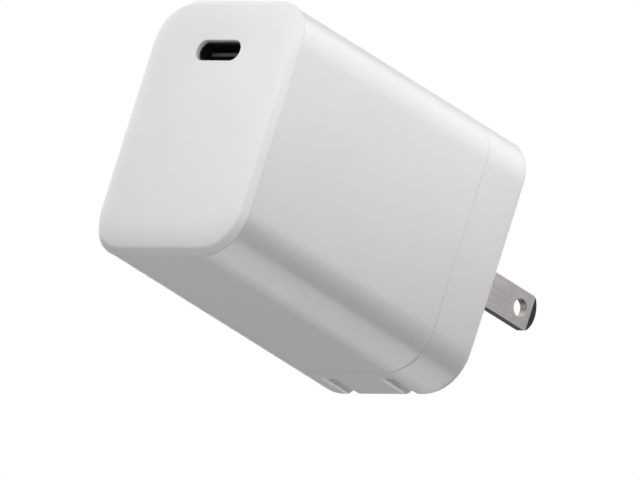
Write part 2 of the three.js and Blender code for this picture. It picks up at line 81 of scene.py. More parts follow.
def outline(w=W, h=H, a=7.9, n=2.2, seg=22, straight=4):
    """Points and outward normals round a rounded rectangle in X and Z.
    The corners are superellipses, so the flats run into them softly."""
    pts, nrm = [], []
    cx, cz = w / 2 - a, h / 2 - a
    for q in range(4):
        c, s = math.cos(q * math.pi / 2), math.sin(q * math.pi / 2)
        ox, oz = ((cx, cz), (-cx, cz), (-cx, -cz), (cx, -cz))[q]
        corner = []
        for i in range(seg + 1):
            u = i / seg
            t = (u * u * (3 - 2 * u) * 0.35 + u * 0.65) * math.pi / 2
            x, z = a * max(math.cos(t), 0) ** (2 / n), a * max(math.sin(t), 0) ** (2 / n)
            gx, gz = (max(x, 0) / a) ** (n - 1), (max(z, 0) / a) ** (n - 1)
            l = math.hypot(gx, gz)
            corner.append((x, z, gx / l, gz / l))
        for x, z, gx, gz in corner:
            pts.append((ox + x * c - z * s, oz + x * s + z * c))
            nrm.append((gx * c - gz * s, gx * s + gz * c))
        # straight run to the next corner
        p0 = pts[-1]
        nxt = ((-cx, h / 2), (-w / 2, -cz), (cx, -h / 2), (w / 2, cz))[q]
        for i in range(1, straight):
            f = i / straight
            pts.append((p0[0] + (nxt[0] - p0[0]) * f, p0[1] + (nxt[1] - p0[1]) * f))
            nrm.append(nrm[-1] if i > 1 else (-s, c))
    return np.array(pts), np.array(nrm)


OUT_P, OUT_N = outline()


def body_ring(inset, y):
    p = OUT_P - OUT_N * inset
    return [(x, y, z) for x, z in p]


def stadium(w, h, y, zc, grow=0.0, seg=14, xc=0.0):
    r = h / 2 + grow
    cx = w / 2 - h / 2
    out = []
    for sx, a0 in ((1, -90), (-1, 90)):
        for i in range(seg + 1):
            a = math.radians(a0 + 180 * i / seg)
            out.append((xc + sx * cx + r * math.cos(a), y, zc + r * math.sin(a)))
    return out


def add_ring(bm, pts):
    return [bm.verts.new(p) for p in pts]


def bridge(bm, a, b):
    n = len(a)
    for i in range(n):
        j = (i + 1) % n
        bm.faces.new((a[i], a[j], b[j], b[i]))


def ring_edges(bm, r):
    out = []
    for i in range(len(r)):
        e = bm.edges.get((r[i], r[(i + 1) % len(r)]))
        out.append(e if e else bm.edges.new((r[i], r[(i + 1) % len(r)])))
    return out


def fill(bm, *rings):
    """Planar fill between an outer loop and any holes."""
    edges = [e for r in rings for e in ring_edges(bm, r)]
    bmesh.ops.triangle_fill(bm, use_beauty=True, use_dissolve=False, edges=edges)


def sweep(bm, rings, closed=False):
    rs = [add_ring(bm, r) for r in rings]
    for a, b in zip(rs, rs[1:]):
        bridge(bm, a, b)
    if closed:
        bridge(bm, rs[-1], rs[0])
    return rs


def arc(cx, cy, r, a0, a1, n):
    return [(cx + r * math.cos(math.radians(a0 + (a1 - a0) * i / n)),
             cy + r * math.sin(math.radians(a0 + (a1 - a0) * i / n))) for i in range(n + 1)]


def box_obj(x0, x1, y0, y1, z0, z1, name="tool"):
    bm = bmesh.new()
    bmesh.ops.create_cube(bm, size=1.0)
    bmesh.ops.scale(bm, vec=(x1 - x0, y1 - y0, z1 - z0), verts=bm.verts)
    bmesh.ops.translate(bm, vec=((x0 + x1) / 2, (y0 + y1) / 2, (z0 + z1) / 2), verts=bm.verts)
    return obj_from_bm(name, bm)


def cyl_obj(axis, r, a, b, c1, c2, seg=48, name="tool", r2=None):
    bm = bmesh.new()
    bmesh.ops.create_cone(bm, cap_ends=True, segments=seg, radius1=r, radius2=r if r2 is None else r2, depth=b - a)
    bmesh.ops.translate(bm, vec=(0, 0, (a + b) / 2), verts=bm.verts)
    if axis == "x":
        bmesh.ops.rotate(bm, cent=(0, 0, 0), matrix=Matrix.Rotation(math.pi / 2, 3, "Y"), verts=bm.verts)
        bmesh.ops.translate(bm, vec=(0, c1, c2), verts=bm.verts)
    elif axis == "y":
        bmesh.ops.rotate(bm, cent=(0, 0, 0), matrix=Matrix.Rotation(-math.pi / 2, 3, "X"), verts=bm.verts)
        bmesh.ops.translate(bm, vec=(c1, 0, c2), verts=bm.verts)
    else:
        bmesh.ops.translate(bm, vec=(c1, c2, 0), verts=bm.verts)
    return obj_from_bm(name, bm)


def boolean(ob, tool, op="DIFFERENCE"):
    m = ob.modifiers.new("b", "BOOLEAN")
    m.operation, m.solver, m.object = op, "EXACT", tool
    bpy.context.view_layer.update()
    dg = bpy.context.evaluated_depsgraph_get()
    me = bpy.data.meshes.new_from_object(ob.evaluated_get(dg), depsgraph=dg)
    ob.modifiers.clear()
    old = ob.data
    ob.data = me
    bpy.data.meshes.remove(old)
    bpy.data.objects.remove(tool)
    return ob


def bevel_edges(ob, pick, width, segments=3, angle=25.0, smooth=32.0):
    """Rounds the sharp edges for which pick(midpoint mm, edge) is true."""
    bm = bmesh.new(); bm.from_mesh(ob.data)
    bmesh.ops.remove_doubles(bm, verts=bm.verts, dist=2e-6)
    bmesh.ops.dissolve_degenerate(bm, dist=1e-6, edges=bm.edges)
    lim = math.radians(angle)
    es = [e for e in bm.edges if len(e.link_faces) == 2 and e.calc_face_angle(0) > lim
          and pick((e.verts[0].co + e.verts[1].co) * 500)]
    if es:
        bmesh.ops.bevel(bm, geom=es, offset=width * 0.001, offset_type="OFFSET", segments=segments,
                        profile=0.5, affect="EDGES", clamp_overlap=True)
    bmesh.ops.recalc_face_normals(bm, faces=bm.faces)
    bm.to_mesh(ob.data); bm.free()
    shade(ob, smooth)
    return ob


def bevel_lips(ob, weight, width, segments=4, angle=25.0, smooth=32.0):
    """Rounds sharp edges by width times weight(midpoint mm), so that one run of lip can widen along its way."""
    bm = bmesh.new(); bm.from_mesh(ob.data)
    bmesh.ops.remove_doubles(bm, verts=bm.verts, dist=2e-6)
    bmesh.ops.dissolve_degenerate(bm, dist=1e-6, edges=bm.edges)
    lay = bm.edges.layers.float.new("bevel_weight_edge")
    lim = math.radians(angle)
    for e in bm.edges:
        if len(e.link_faces) == 2 and e.calc_face_angle(0) > lim:
            e[lay] = weight((e.verts[0].co + e.verts[1].co) * 500)
    bm.to_mesh(ob.data); bm.free()
    m = ob.modifiers.new("lips", "BEVEL")
    m.limit_method, m.width, m.segments, m.use_clamp_overlap = "WEIGHT", width * 0.001, segments, True
    bpy.context.view_layer.update()
    dg = bpy.context.evaluated_depsgraph_get()
    me = bpy.data.meshes.new_from_object(ob.evaluated_get(dg), depsgraph=dg)
    ob.modifiers.clear()
    old = ob.data
    ob.data = me
    bpy.data.meshes.remove(old)
    shade(ob, smooth)
    return ob


# ------------------------------------------------------------------ materials
def nodes_of(name):
    m = bpy.data.materials.new(name)
    m.use_nodes = True
    nt = m.node_tree
    nt.nodes.clear()
    out = nt.nodes.new("ShaderNodeOutputMaterial")
    p = nt.nodes.new("ShaderNodeBsdfPrincipled")
    nt.links.new(p.outputs[0], out.inputs[0])
    return m, nt, p


def coords(nt, scale=(1000.0, 1000.0, 1000.0)):
    tc = nt.nodes.new("ShaderNodeTexCoord")
    mp = nt.nodes.new("ShaderNodeMapping")
    mp.inputs["Scale"].default_value = scale
    nt.links.new(tc.outputs["Object"], mp.inputs["Vector"])
    return mp.outputs[0]


def noise(nt, vec, scale, detail=3.0, rough=0.55):
    n = nt.nodes.new("ShaderNodeTexNoise")
    n.inputs["Scale"].default_value = scale
    n.inputs["Detail"].default_value = detail
    n.inputs["Roughness"].default_value = rough
    nt.links.new(vec, n.inputs["Vector"])
    return n.outputs["Fac"]


def remap(nt, val, a, b, lo=0.0, hi=1.0):
    m = nt.nodes.new("ShaderNodeMapRange")
    m.inputs["From Min"].default_value, m.inputs["From Max"].default_value = lo, hi
    m.inputs["To Min"].default_value, m.inputs["To Max"].default_value = a, b
    nt.links.new(val, m.inputs["Value"])
    return m.outputs[0]


def mix_rgb(nt, fac, a, b):
    m = nt.nodes.new("ShaderNodeMix")
    m.data_type = "RGBA"
    for sock, v in ((m.inputs[6], a), (m.inputs[7], b)):
        if isinstance(v, tuple):
            sock.default_value = (*v, 1.0)
        else:
            nt.links.new(v, sock)
    if isinstance(fac, float):
        m.inputs[0].default_value = fac
    else:
        nt.links.new(fac, m.inputs[0])
    return m.outputs[2]


def bump(nt, height, strength, distance):
    b = nt.nodes.new("ShaderNodeBump")
    b.inputs["Strength"].default_value = strength
    b.inputs["Distance"].default_value = distance
    nt.links.new(height, b.inputs["Height"])
    return b.outputs[0]


def math_node(nt, op, a, b=None):
    m = nt.nodes.new("ShaderNodeMath"); m.operation = op
    for i, v in enumerate((a, b)):
        if v is None:
            continue
        if isinstance(v, (int, float)):
            m.inputs[i].default_value = v
        else:
            nt.links.new(v, m.inputs[i])
    return m.outputs[0]


def edge_mask(nt, radius=0.00025):
    """1 on a rounded-over edge, 0 on a flat: how far the bevelled normal leaves the true one."""
    bv = nt.nodes.new("ShaderNodeBevel"); bv.samples = 4
    bv.inputs["Radius"].default_value = radius
    ge = nt.nodes.new("ShaderNodeNewGeometry")
    d = nt.nodes.new("ShaderNodeVectorMath"); d.operation = "DOT_PRODUCT"
    nt.links.new(bv.outputs[0], d.inputs[0]); nt.links.new(ge.outputs["Normal"], d.inputs[1])
    return remap(nt, d.outputs["Value"], 1.0, 0.0, 0.90, 1.0)


def satin(name, colour, rough=0.42, grain=0.5, spec=0.5, tone=0.012, wear=0.02, slots=None):
    """Fine-textured moulded plastic: spark-eroded grain, slow gloss variation, edges a little polished.
    slots: a paler tone painted between the walls of the two blade slots: painted light, standing for the light that
    reaches the slot walls."""
    m, nt, p = nodes_of(name)
    v = coords(nt)
    slow, gloss = noise(nt, v, 0.09, 2.0), noise(nt, v, 0.3, 1.0)
    mid, fine = noise(nt, v, 1.3, 4.0), noise(nt, v, 7.0, 2.0, 0.5)
    c0 = tuple(max(0.0, x - tone) for x in colour)
    c1 = tuple(min(1.0, x + tone * 0.6) for x in colour)
    base = mix_rgb(nt, remap(nt, slow, 0.0, 1.0, 0.3, 0.7), c0, c1)
    edge = edge_mask(nt)
    worn = tuple(min(1.0, x + wear) for x in colour)
    base = mix_rgb(nt, edge, base, worn)
    if slots:
        # painted light: the walls of the blade slots get a paler tone than the plastic
        at = nt.nodes.new("ShaderNodeSeparateXYZ"); nt.links.new(v, at.inputs[0])
        off = math_node(nt, "ABSOLUTE", math_node(nt, "SUBTRACT", math_node(nt, "ABSOLUTE", at.outputs[0]), BX))
        inside = math_node(nt, "MULTIPLY", remap(nt, off, 1.0, 0.0, SLOT_W / 2 + 0.01, SLOT_W / 2 + 0.05),
                           remap(nt, at.outputs[1], 0.0, 1.0, -SLOT_D - 0.02, -SLOT_D + 0.02))
        inside = math_node(nt, "MULTIPLY", inside, remap(nt, at.outputs[2], 1.0, 0.0, SLOT_TOP, SLOT_TOP + 0.04))
        base = mix_rgb(nt, inside, base, slots)
    nt.links.new(base, p.inputs["Base Color"])
    r = remap(nt, gloss, rough - 0.02, rough + 0.02, 0.25, 0.75)
    r = math_node(nt, "SUBTRACT", r, math_node(nt, "MULTIPLY", edge, 0.07))
    nt.links.new(r, p.inputs["Roughness"])
    p.inputs["Specular IOR Level"].default_value = spec
    h = math_node(nt, "ADD", fine, math_node(nt, "MULTIPLY", mid, 0.35))
    nt.links.new(bump(nt, h, grain, 0.000006), p.inputs["Normal"])
    return m


def plated(name, colour, rough=0.3, streak=0.5, along="y", dark=0.75, aniso=0.35, painted_edge_dark=None):
    """Plated metal with fine drawing lines along one axis and a few handling marks.
    painted_edge_dark: a darker tone painted on the edges and the tip taper of a sheet that lies across X: painted dark
    reflection, with painted shade in its punched hole."""
    m, nt, p = nodes_of(name)
    p.inputs["Metallic"].default_value = 1.0
    stretch = {"x": (60.0, 3000.0, 3000.0), "y": (3000.0, 60.0, 3000.0), "z": (3000.0, 3000.0, 60.0)}[along]
    lines = noise(nt, coords(nt, stretch), 1.2, 4.0, 0.7)
    cloud = noise(nt, coords(nt), 0.35, 4.0)
    edge = edge_mask(nt, 0.00015)
    c0 = tuple(x * dark for x in colour)
    base = mix_rgb(nt, remap(nt, cloud, 0.0, 1.0, 0.25, 0.75), c0, colour)
    base = mix_rgb(nt, edge, base, tuple(min(1.0, x * 1.15) for x in colour))
    if painted_edge_dark:
        tc = nt.nodes.new("ShaderNodeTexCoord")
        sep = nt.nodes.new("ShaderNodeSeparateXYZ"); nt.links.new(tc.outputs["Normal"], sep.inputs[0])
        side = remap(nt, math_node(nt, "ABSOLUTE", sep.outputs[0]), 1.0, 0.0, 0.986, 0.997)
        at = nt.nodes.new("ShaderNodeSeparateXYZ"); nt.links.new(coords(nt), at.inputs[0])
        dy, dz = math_node(nt, "SUBTRACT", at.outputs[1], HOLE_Y), at.outputs[2]
        out = math_node(nt, "SQRT", math_node(nt, "ADD", math_node(nt, "MULTIPLY", dy, dy), math_node(nt, "MULTIPLY", dz, dz)))
        # the punched hole: a pale wall with painted shade that darkens it to its top and bottom, most at the bottom
        wall = math_node(nt, "MULTIPLY", math_node(nt, "ABSOLUTE", dz), remap(nt, out, 1.0, 0.0, HOLE_R + 0.12, HOLE_R + 0.2))
        wall = remap(nt, wall, 0.12, 1.0, 0.95, 1.3)
        wall = math_node(nt, "MULTIPLY", wall, remap(nt, dz, 1.0, 0.5, -0.2, 0.2))
        side = math_node(nt, "MULTIPLY", side, math_node(nt, "MAXIMUM", wall, remap(nt, out, 0.0, 1.0, HOLE_R + 0.15, HOLE_R + 0.35)))
        # painted dark reflection on the edges and tip taper, its tone varied a little by noise
        dark_edge_noise = noise(nt, coords(nt, (500.0, 2600.0, 2600.0)), 1.0, 3.0)
        base = mix_rgb(nt, side, base, mix_rgb(nt, remap(nt, dark_edge_noise, 0.0, 1.0, 0.3, 0.7), tuple(x * 0.8 for x in painted_edge_dark), painted_edge_dark))
    nt.links.new(base, p.inputs["Base Color"])
    nt.links.new(remap(nt, lines, rough - 0.08, rough + 0.10, 0.3, 0.7), p.inputs["Roughness"])
    p.inputs["Anisotropic"].default_value = aniso
    nt.links.new(bump(nt, lines, streak, 0.000004), p.inputs["Normal"])
    return m


# ------------------------------------------------------------------ outside pieces
def crown_profile(n=16):
    out = []
    for i in range(n + 1):
        t = i / n
        out.append((CHAMFER + CROWN_W * t, SEAM_F - CHAMFER - CROWN * (1 - (1 - t) ** CROWN_P)))
    return out


def make_shell():
    bm = bmesh.new()
    f, r = 0.03, 0.055
    prof = [(f - f * math.sin(math.radians(a)), SEAM_F + 0.012 + f - f * math.cos(math.radians(a))) for a in (0, 30, 60, 90)]
    prof += [(0, SEAM_F + 0.35), (0, -45), (0, -32), (0, -20), (0, SEAM_R - 0.45)]
    prof += [(r - r * math.cos(math.radians(a)), SEAM_R - 0.02 - r + r * math.sin(math.radians(a))) for a in (0, 22, 45, 67, 90)]
    prof += [(1.0, SEAM_R - 0.02), (1.0, -12.15), (2.0, -12.15), (2.0, -51.5), (1.0, -51.5), (1.0, SEAM_F + 0.012)]
    sweep(bm, [body_ring(i, y) for i, y in prof], closed=True)
    ob = obj_from_bm("shell_body", bm)
    for s in (1, -1):                                   # ribs that hold the main board
        z = sorted((s * 16.0, s * 19.7))
        boolean(ob, box_obj(-10.9, -9.9, -50.4, -13.2, z[0], z[1]), "UNION")
    shade(ob)
    return ob


def make_cap():
    bm = bmesh.new()
    crown = crown_profile()
    prof = list(reversed(crown))[:-1]
    # softened crease between crown and chamfer
    cx, cy = CHAMFER, SEAM_F - CHAMFER
    e = 0.28
    a = (cx + e, cy - CROWN_P * CROWN / CROWN_W * e)
    b = (cx - e * 0.707, cy + e * 0.707)
    prof = [p for p in prof if p[0] > a[0] + 0.15]
    for i in range(6):
        t = i / 5
        prof.append(((1 - t) ** 2 * a[0] + 2 * t * (1 - t) * cx + t * t * b[0], (1 - t) ** 2 * a[1] + 2 * t * (1 - t) * cy + t * t * b[1]))
    prof += [(0.45, SEAM_F - 0.45), (0.16, SEAM_F - 0.16), (0.05, SEAM_F - 0.05), (0.025, SEAM_F - 0.03), (0.04, SEAM_F - 0.012)]
    prof += [(1.08, SEAM_F - 0.012), (1.08, SEAM_F + 2.5), (2.0, SEAM_F + 2.5), (2.0, SEAM_F + 0.6)]
    rs = sweep(bm, [body_ring(i, y) for i, y in prof])
    lip = 0.2
    st = [(lip - lip * math.sin(math.radians(a)), -D + lip - lip * math.cos(math.radians(a))) for a in (0, 18, 36, 54, 72, 90)]
    st = [(g, y) for g, y in st] + [(0, -D + 0.6), (0, SEAM_F + 0.6)]
    ss = sweep(bm, [stadium(PORT_W, PORT_H, y, PORT_Z, g) for g, y in st])
    fill(bm, rs[0], ss[0])
    fill(bm, rs[-1], ss[-1])
    ob = obj_from_bm("cap_body", bm)
    for x in (-6, 6):
        boolean(ob, box_obj(x - 0.5, x + 0.5, SEAM_F + 0.2, SEAM_F + 2.2, -19.0, 7.5), "UNION")
    shade(ob, 24)
    return ob


def make_cover():
    bm = bmesh.new()
    r = 0.055
    prof = [(2.0, -2.0), (2.0, -11.95), (1.08, -11.95), (1.08, SEAM_R)]
    prof += [(r - r * math.sin(math.radians(a)), SEAM_R + r - r * math.cos(math.radians(a))) for a in (0, 22, 45, 67, 90)]
    prof += [(0, SEAM_R + 0.45), (0, -6.0), (0, -REAR_R - 0.4)]
    prof += [(REAR_R * (1 - math.cos(math.radians(a))), -REAR_R + REAR_R * math.sin(math.radians(a))) for a in np.linspace(0, 90, 13)]
    rs = sweep(bm, [body_ring(i, y) for i, y in prof])
    fill(bm, rs[0]); fill(bm, rs[-1])
    ob = obj_from_bm("cover_body", bm)
    hw, rib = SLOT_W / 2, 0.9
    for s in (1, -1):
        xc = s * BX
        boolean(ob, box_obj(xc - hw - rib, xc + hw + rib, -SLOT_D - rib, -1.4, -20.3, -5.0), "UNION")
        boolean(ob, box_obj(xc - hw - rib, xc + hw + rib, -SLOT_D, -1.3, -6.0, SLOT_TOP + rib), "UNION")
        boolean(ob, box_obj(xc - 1.6, xc + 1.6, -8.25, -1.2, 7.4, 10.2), "UNION")
        boolean(ob, cyl_obj("y", 1.75, -8.75, -1.1, s * 12.1, 0), "UNION")
        boolean(ob, cyl_obj("y", 0.85, -9.8, -2.6, s * 12.1, 0, 32))
    for s in (1, -1):
        xc = s * BX
        boolean(ob, box_obj(xc - hw, xc + hw, -SLOT_D, 1, -23, SLOT_TOP))
    boolean(ob, box_obj(-10.6, 10.6, -10, PIVOT, -BORE_R, BORE_R))
    boolean(ob, cyl_obj("x", BORE_R + 0.003, -10.6, 10.6, PIVOT, 0, 64))
    boolean(ob, cyl_obj("x", CAM_R + 0.13, -2.8, 2.8, PIVOT, 0, 64))

    def lips(p):
        """The slots' edges on the outside: wide below, crisp at the inner end, finer on the outlet face."""
        if not (5.2 < abs(p.x) < 7.5) or p.z > SLOT_TOP + 0.01:
            return 0.0
        if p.z < -21.48:
            return 0.2 if p.y < -SLOT_D + 0.01 else 1.0
        turn = (p.y + REAR_R) ** 2 + (p.z + 21.5 - REAR_R) ** 2 > (REAR_R - 0.03) ** 2
        if p.y > -REAR_R and p.z < -19.55 and turn:
            return 1.0 - 0.5 * max(0.0, min(1.0, (p.z + 20.8) / 1.0))
        return 0.5 if p.y > -0.02 else 0.0
    bevel_lips(ob, lips, 0.64, 5)
    return ob


def blade_outline():
    tip, h, pts = BLADE_OUT - PIVOT, BLADE_W / 2, []
    for i in range(33):
        a = -math.pi / 2 - math.pi * i / 32
        pts.append((h * math.cos(a), h * math.sin(a)))
    rt, rc = 3.7, 1.1
    b = math.asin((h - rc) / (rt - rc)); cy = tip - rt; ky = cy + (rt - rc) * math.cos(b)
    for i in range(11):
        a = math.pi / 2 - (math.pi / 2 - b) * i / 10
        pts.append((ky + rc * math.cos(a), h - rc + rc * math.sin(a)))
    for i in range(1, 24):
        a = b - 2 * b * i / 24
        pts.append((cy + rt * math.cos(a), rt * math.sin(a)))
    for i in range(11):
        a = -b - (math.pi / 2 - b) * i / 10
        pts.append((ky + rc * math.cos(a), -h + rc + rc * math.sin(a)))
    return pts


def make_blade(name, xc):
    bm = bmesh.new()
    t = BLADE_T / 2
    loops = [blade_outline(),
             [(1.31, 1.31), (-1.31, 1.31), (-1.31, -1.31), (1.31, -1.31)],
             [(HOLE_Y - PIVOT + HOLE_R * math.cos(k * math.pi / 24), HOLE_R * math.sin(k * math.pi / 24)) for k in range(48)]]
    caps = []
    for x in (-t, t):
        rs = [add_ring(bm, [(x, y, z) for y, z in lp]) for lp in loops]
        caps.append(rs)
        fill(bm, *rs)
    for a, b in zip(*caps):
        bridge(bm, a, b)
    ob = obj_from_bm(name, bm)
    tip = BLADE_OUT - PIVOT
    for s in (1, -1):                                   # both faces taper towards the tip
        wb = bmesh.new()
        e = TIP_T / 2
        tri = [(s * t, tip - TIP_BEVEL), (s * e, tip + 0.002), (s * e, tip + 1), (s * 2, tip + 1), (s * 2, tip - TIP_BEVEL)]
        rings = [add_ring(wb, [(x, y, z) for x, y in tri]) for z in (-4, 4)]
        bridge(wb, rings[0], rings[1])
        for rr in rings:
            wb.faces.new(rr)
        boolean(ob, obj_from_bm("tool", wb))
    bevel_edges(ob, lambda p: True, 0.11, 2, 18, 20)
    bm = bmesh.new(); bm.from_mesh(ob.data)             # the taper starts at a crisp line
    for ed in bm.edges:
        if all(abs(v.co.y * 1000 - tip + TIP_BEVEL) < 0.03 for v in ed.verts) and ed.calc_face_angle(0) > 0.06:
            ed.smooth = False
    bm.to_mesh(ob.data); bm.free()
    ob.data.transform(Matrix.Translation((xc / 1000, PIVOT / 1000, 0)))
    return ob


def make_port_shell():
    bm = bmesh.new()
    y0, y1 = -54.92, -47.6
    prof = []
    for a in np.linspace(-90, 90, 9):                   # rolled front rim
        prof.append((0.15 * math.sin(math.radians(a)) - 0.15 + 0.15, y0 + 0.15 - 0.15 * math.cos(math.radians(a))))
    rings = [stadium(8.82, 2.94, y, PORT_Z, g) for g, y in prof] + [stadium(8.82, 2.94, y1, PORT_Z, 0.15), stadium(8.82, 2.94, y1, PORT_Z, -0.15)]
    sweep(bm, rings, closed=True)
    ob = obj_from_bm("port_shell", bm)
    for x in (-4.52, 4.52):
        leg = box_obj(x - 0.33, x + 0.33, -49.3, -48.5, 8.9, PORT_Z - 0.2)
        sx = 1 if x > 0 else -1
        boolean(leg, box_obj(*sorted((sx * 3.0, sx * 4.22)), -50, -48, 11.0, 14.0))
        boolean(ob, leg, "UNION")
    shade(ob)
    return ob


def make_tongue():
    bm = bmesh.new()
    w, h, y0 = 3.35, 0.35, -53.8
    plan = [(-w, -49.0), (-w, y0 + 0.5)] + [(-w + 0.5 - 0.5 * math.cos(math.radians(a)), y0 + 0.5 - 0.5 * math.sin(math.radians(a))) for a in (30, 60, 90)]
    plan += [(-x, y) for x, y in reversed(plan)]
    rings = [add_ring(bm, [(x, y, PORT_Z + z) for x, y in plan]) for z in (-h, h)]
    bridge(bm, rings[0], rings[1])
    for rr in rings:
        bm.faces.new(rr)
    ob = obj_from_bm("port_tongue", bm)
    bevel_edges(ob, lambda p: p.y < -49.3, 0.1, 3, 60)
    for w2, h2, a, b in ((7.4, 1.7, -50.0, -49.2), (8.2, 2.46, -49.4, -47.8)):
        bb = bmesh.new()
        rs = sweep(bb, [stadium(w2, h2, a, PORT_Z), stadium(w2, h2, b, PORT_Z)])
        bb.faces.new(rs[0]); bb.faces.new(rs[-1])
        boolean(ob, obj_from_bm("tool", bb), "UNION")
    shade(ob)
    return ob


def make_pads():
    bm = bmesh.new()
    for row in (1, -1):
        for k in range(12):
            x = (k - 5.5) * 0.5
            y0 = -53.15 if k in (0, 3, 8, 11) else -52.85
            z = PORT_Z + row * 0.35
            z0, z1 = sorted((z - row * 0.03, z + row * 0.025))
            v = [bm.verts.new(c) for c in ((x - .12, y0, z0), (x + .12, y0, z0), (x + .12, -50.2, z0), (x - .12, -50.2, z0),
                                          (x - .12, y0, z1), (x + .12, y0, z1), (x + .12, -50.2, z1), (x - .12, -50.2, z1))]
            for f in ((0, 1, 2, 3), (4, 5, 6, 7), (0, 1, 5, 4), (1, 2, 6, 5), (2, 3, 7, 6), (3, 0, 4, 7)):
                bm.faces.new([v[i] for i in f])
    return obj_from_bm("port_contacts", bm)


def put(ob, body, slot, mat, *nodes):
    ob.data.materials.clear()
    ob.data.materials.append(mat)
    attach(ob, body)
    if nodes:
        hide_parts(*nodes)
    return ob


SHELL = (0.79, 0.782, 0.765)
m_shell = satin("shell_plastic", SHELL, 0.30)
m_cap = satin("cap_plastic", (0.80, 0.792, 0.777), 0.30)
# the cover's blade slots get a paler tone: painted light
m_cover = satin("cover_plastic", SHELL, 0.30, slots=(0.92, 0.915, 0.90))
# the blades' edges, tip taper and hole wall get a painted dark tone: painted dark reflection and painted shade
m_blade = plated("blade_metal", (0.70, 0.672, 0.655), 0.31, streak=0.22, dark=0.84, painted_edge_dark=(0.092, 0.088, 0.084))
m_port = satin("port_shell_black", (0.008, 0.008, 0.009), 0.5, spec=0.15, tone=0.003, wear=0.012)
m_tongue = satin("port_plastic", (0.015, 0.015, 0.016), 0.42, tone=0.003, wear=0.01)
m_pads = plated("pad_gold", (0.50, 0.38, 0.16), 0.3)

put(make_shell(), "housing", "shell_plastic", m_shell, "main_shell")
put(make_cap(), "housing", "cap_plastic", m_cap, "front_cap")
put(make_cover(), "housing", "shell_plastic", m_cover, "rear_cover")
put(make_blade("blade_body_right", BX), "prongs", "blade_metal", m_blade, "blade_right")
put(make_blade("blade_body_left", -BX), "prongs", "blade_metal", m_blade, "blade_left")
put(make_port_shell(), "housing", "port_steel", m_port, "usb_shell")
put(make_tongue(), "housing", "port_plastic", m_tongue, "usb_tongue")
put(make_pads(), "housing", "contact_brass", m_pads)
# ------------------------------------------------------------------ pieces inside
def box_of(node):
    lo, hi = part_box(node)
    return [v * 1000 for v in lo], [v * 1000 for v in hi]


def place(axis, t, u, v, c):
    return {"x": (t, c[0] + u, c[1] + v), "y": (c[0] + u, t, c[1] + v), "z": (c[0] + u, c[1] + v, t)}[axis]


def lathe_obj(name, profile, axis, c, seg=56, closed=False, smooth=32):
    """Turned piece: profile is (radius, place along the axis)."""
    bm = bmesh.new(); rows = []
    for r, t in profile:
        if r < 1e-6:
            rows.append([bm.verts.new(place(axis, t, 0, 0, c))])
        else:
            rows.append([bm.verts.new(place(axis, t, r * math.cos(2 * math.pi * k / seg), r * math.sin(2 * math.pi * k / seg), c)) for k in range(seg)])
    pairs = list(zip(rows, rows[1:])) + ([(rows[-1], rows[0])] if closed else [])
    for a, b in pairs:
        for k in range(seg):
            j = (k + 1) % seg
            if len(a) == 1:
                bm.faces.new((a[0], b[j], b[k]))
            elif len(b) == 1:
                bm.faces.new((a[k], a[j], b[0]))
            else:
                bm.faces.new((a[k], a[j], b[j], b[k]))
    return obj_from_bm(name, bm, smooth)


def soft_path(pts, n):
    """Smooth centripetal curve through the points."""
    p = [np.array(q, float) for q in pts]
    p = [2 * p[0] - p[1]] + p + [2 * p[-1] - p[-2]]
    out = []
    for s in range(len(p) - 3):
        x0, x1, x2, x3 = p[s:s + 4]
        d0, d1, d2 = (max(np.linalg.norm(b - a) ** 0.5, 1e-6) for a, b in ((x0, x1), (x1, x2), (x2, x3)))
        t1 = ((x1 - x0) / d0 - (x2 - x0) / (d0 + d1) + (x2 - x1) / d1) * d1
        t2 = ((x2 - x1) / d1 - (x3 - x1) / (d1 + d2) + (x3 - x2) / d2) * d1
        for i in range(n):
            t = i / n
            out.append((2 * t ** 3 - 3 * t ** 2 + 1) * x1 + (t ** 3 - 2 * t ** 2 + t) * t1 + (3 * t ** 2 - 2 * t ** 3) * x2 + (t ** 3 - t ** 2) * t2)
    return out + [p[-2]]


def tube_obj(name, path, r, seg=14, bm=None):
    """Round wire along a path, with rounded ends."""
    own = bm is None
    bm = bm or bmesh.new()
    pts = [Vector(q) for q in path]
    n = len(pts)
    tan = [(pts[min(i + 1, n - 1)] - pts[max(i - 1, 0)]).normalized() for i in range(n)]
    nrm = tan[0].orthogonal().normalized()
    rings = []
    for i in range(n):
        nrm = (nrm - tan[i] * nrm.dot(tan[i])).normalized()
        bi = tan[i].cross(nrm)
        steps = [(0.0, 1.0)]
        if i == 0:
            steps = [(r * (1 - math.sin(a)), math.cos(a)) for a in (1.25, 0.9, 0.5)]
        if i == n - 1:
            steps = [(-r * (1 - math.sin(a)), math.cos(a)) for a in (0.5, 0.9, 1.25)]
        for off, k in steps:
            rings.append(add_ring(bm, [pts[i] + tan[i] * off + (nrm * math.cos(t) + bi * math.sin(t)) * r * k
                                       for t in (2 * math.pi * j / seg for j in range(seg))]))
    for a, b in zip(rings, rings[1:]):
        bridge(bm, a, b)
    bm.faces.new(rings[0]); bm.faces.new(rings[-1])
    return obj_from_bm(name, bm, 50) if own else bm


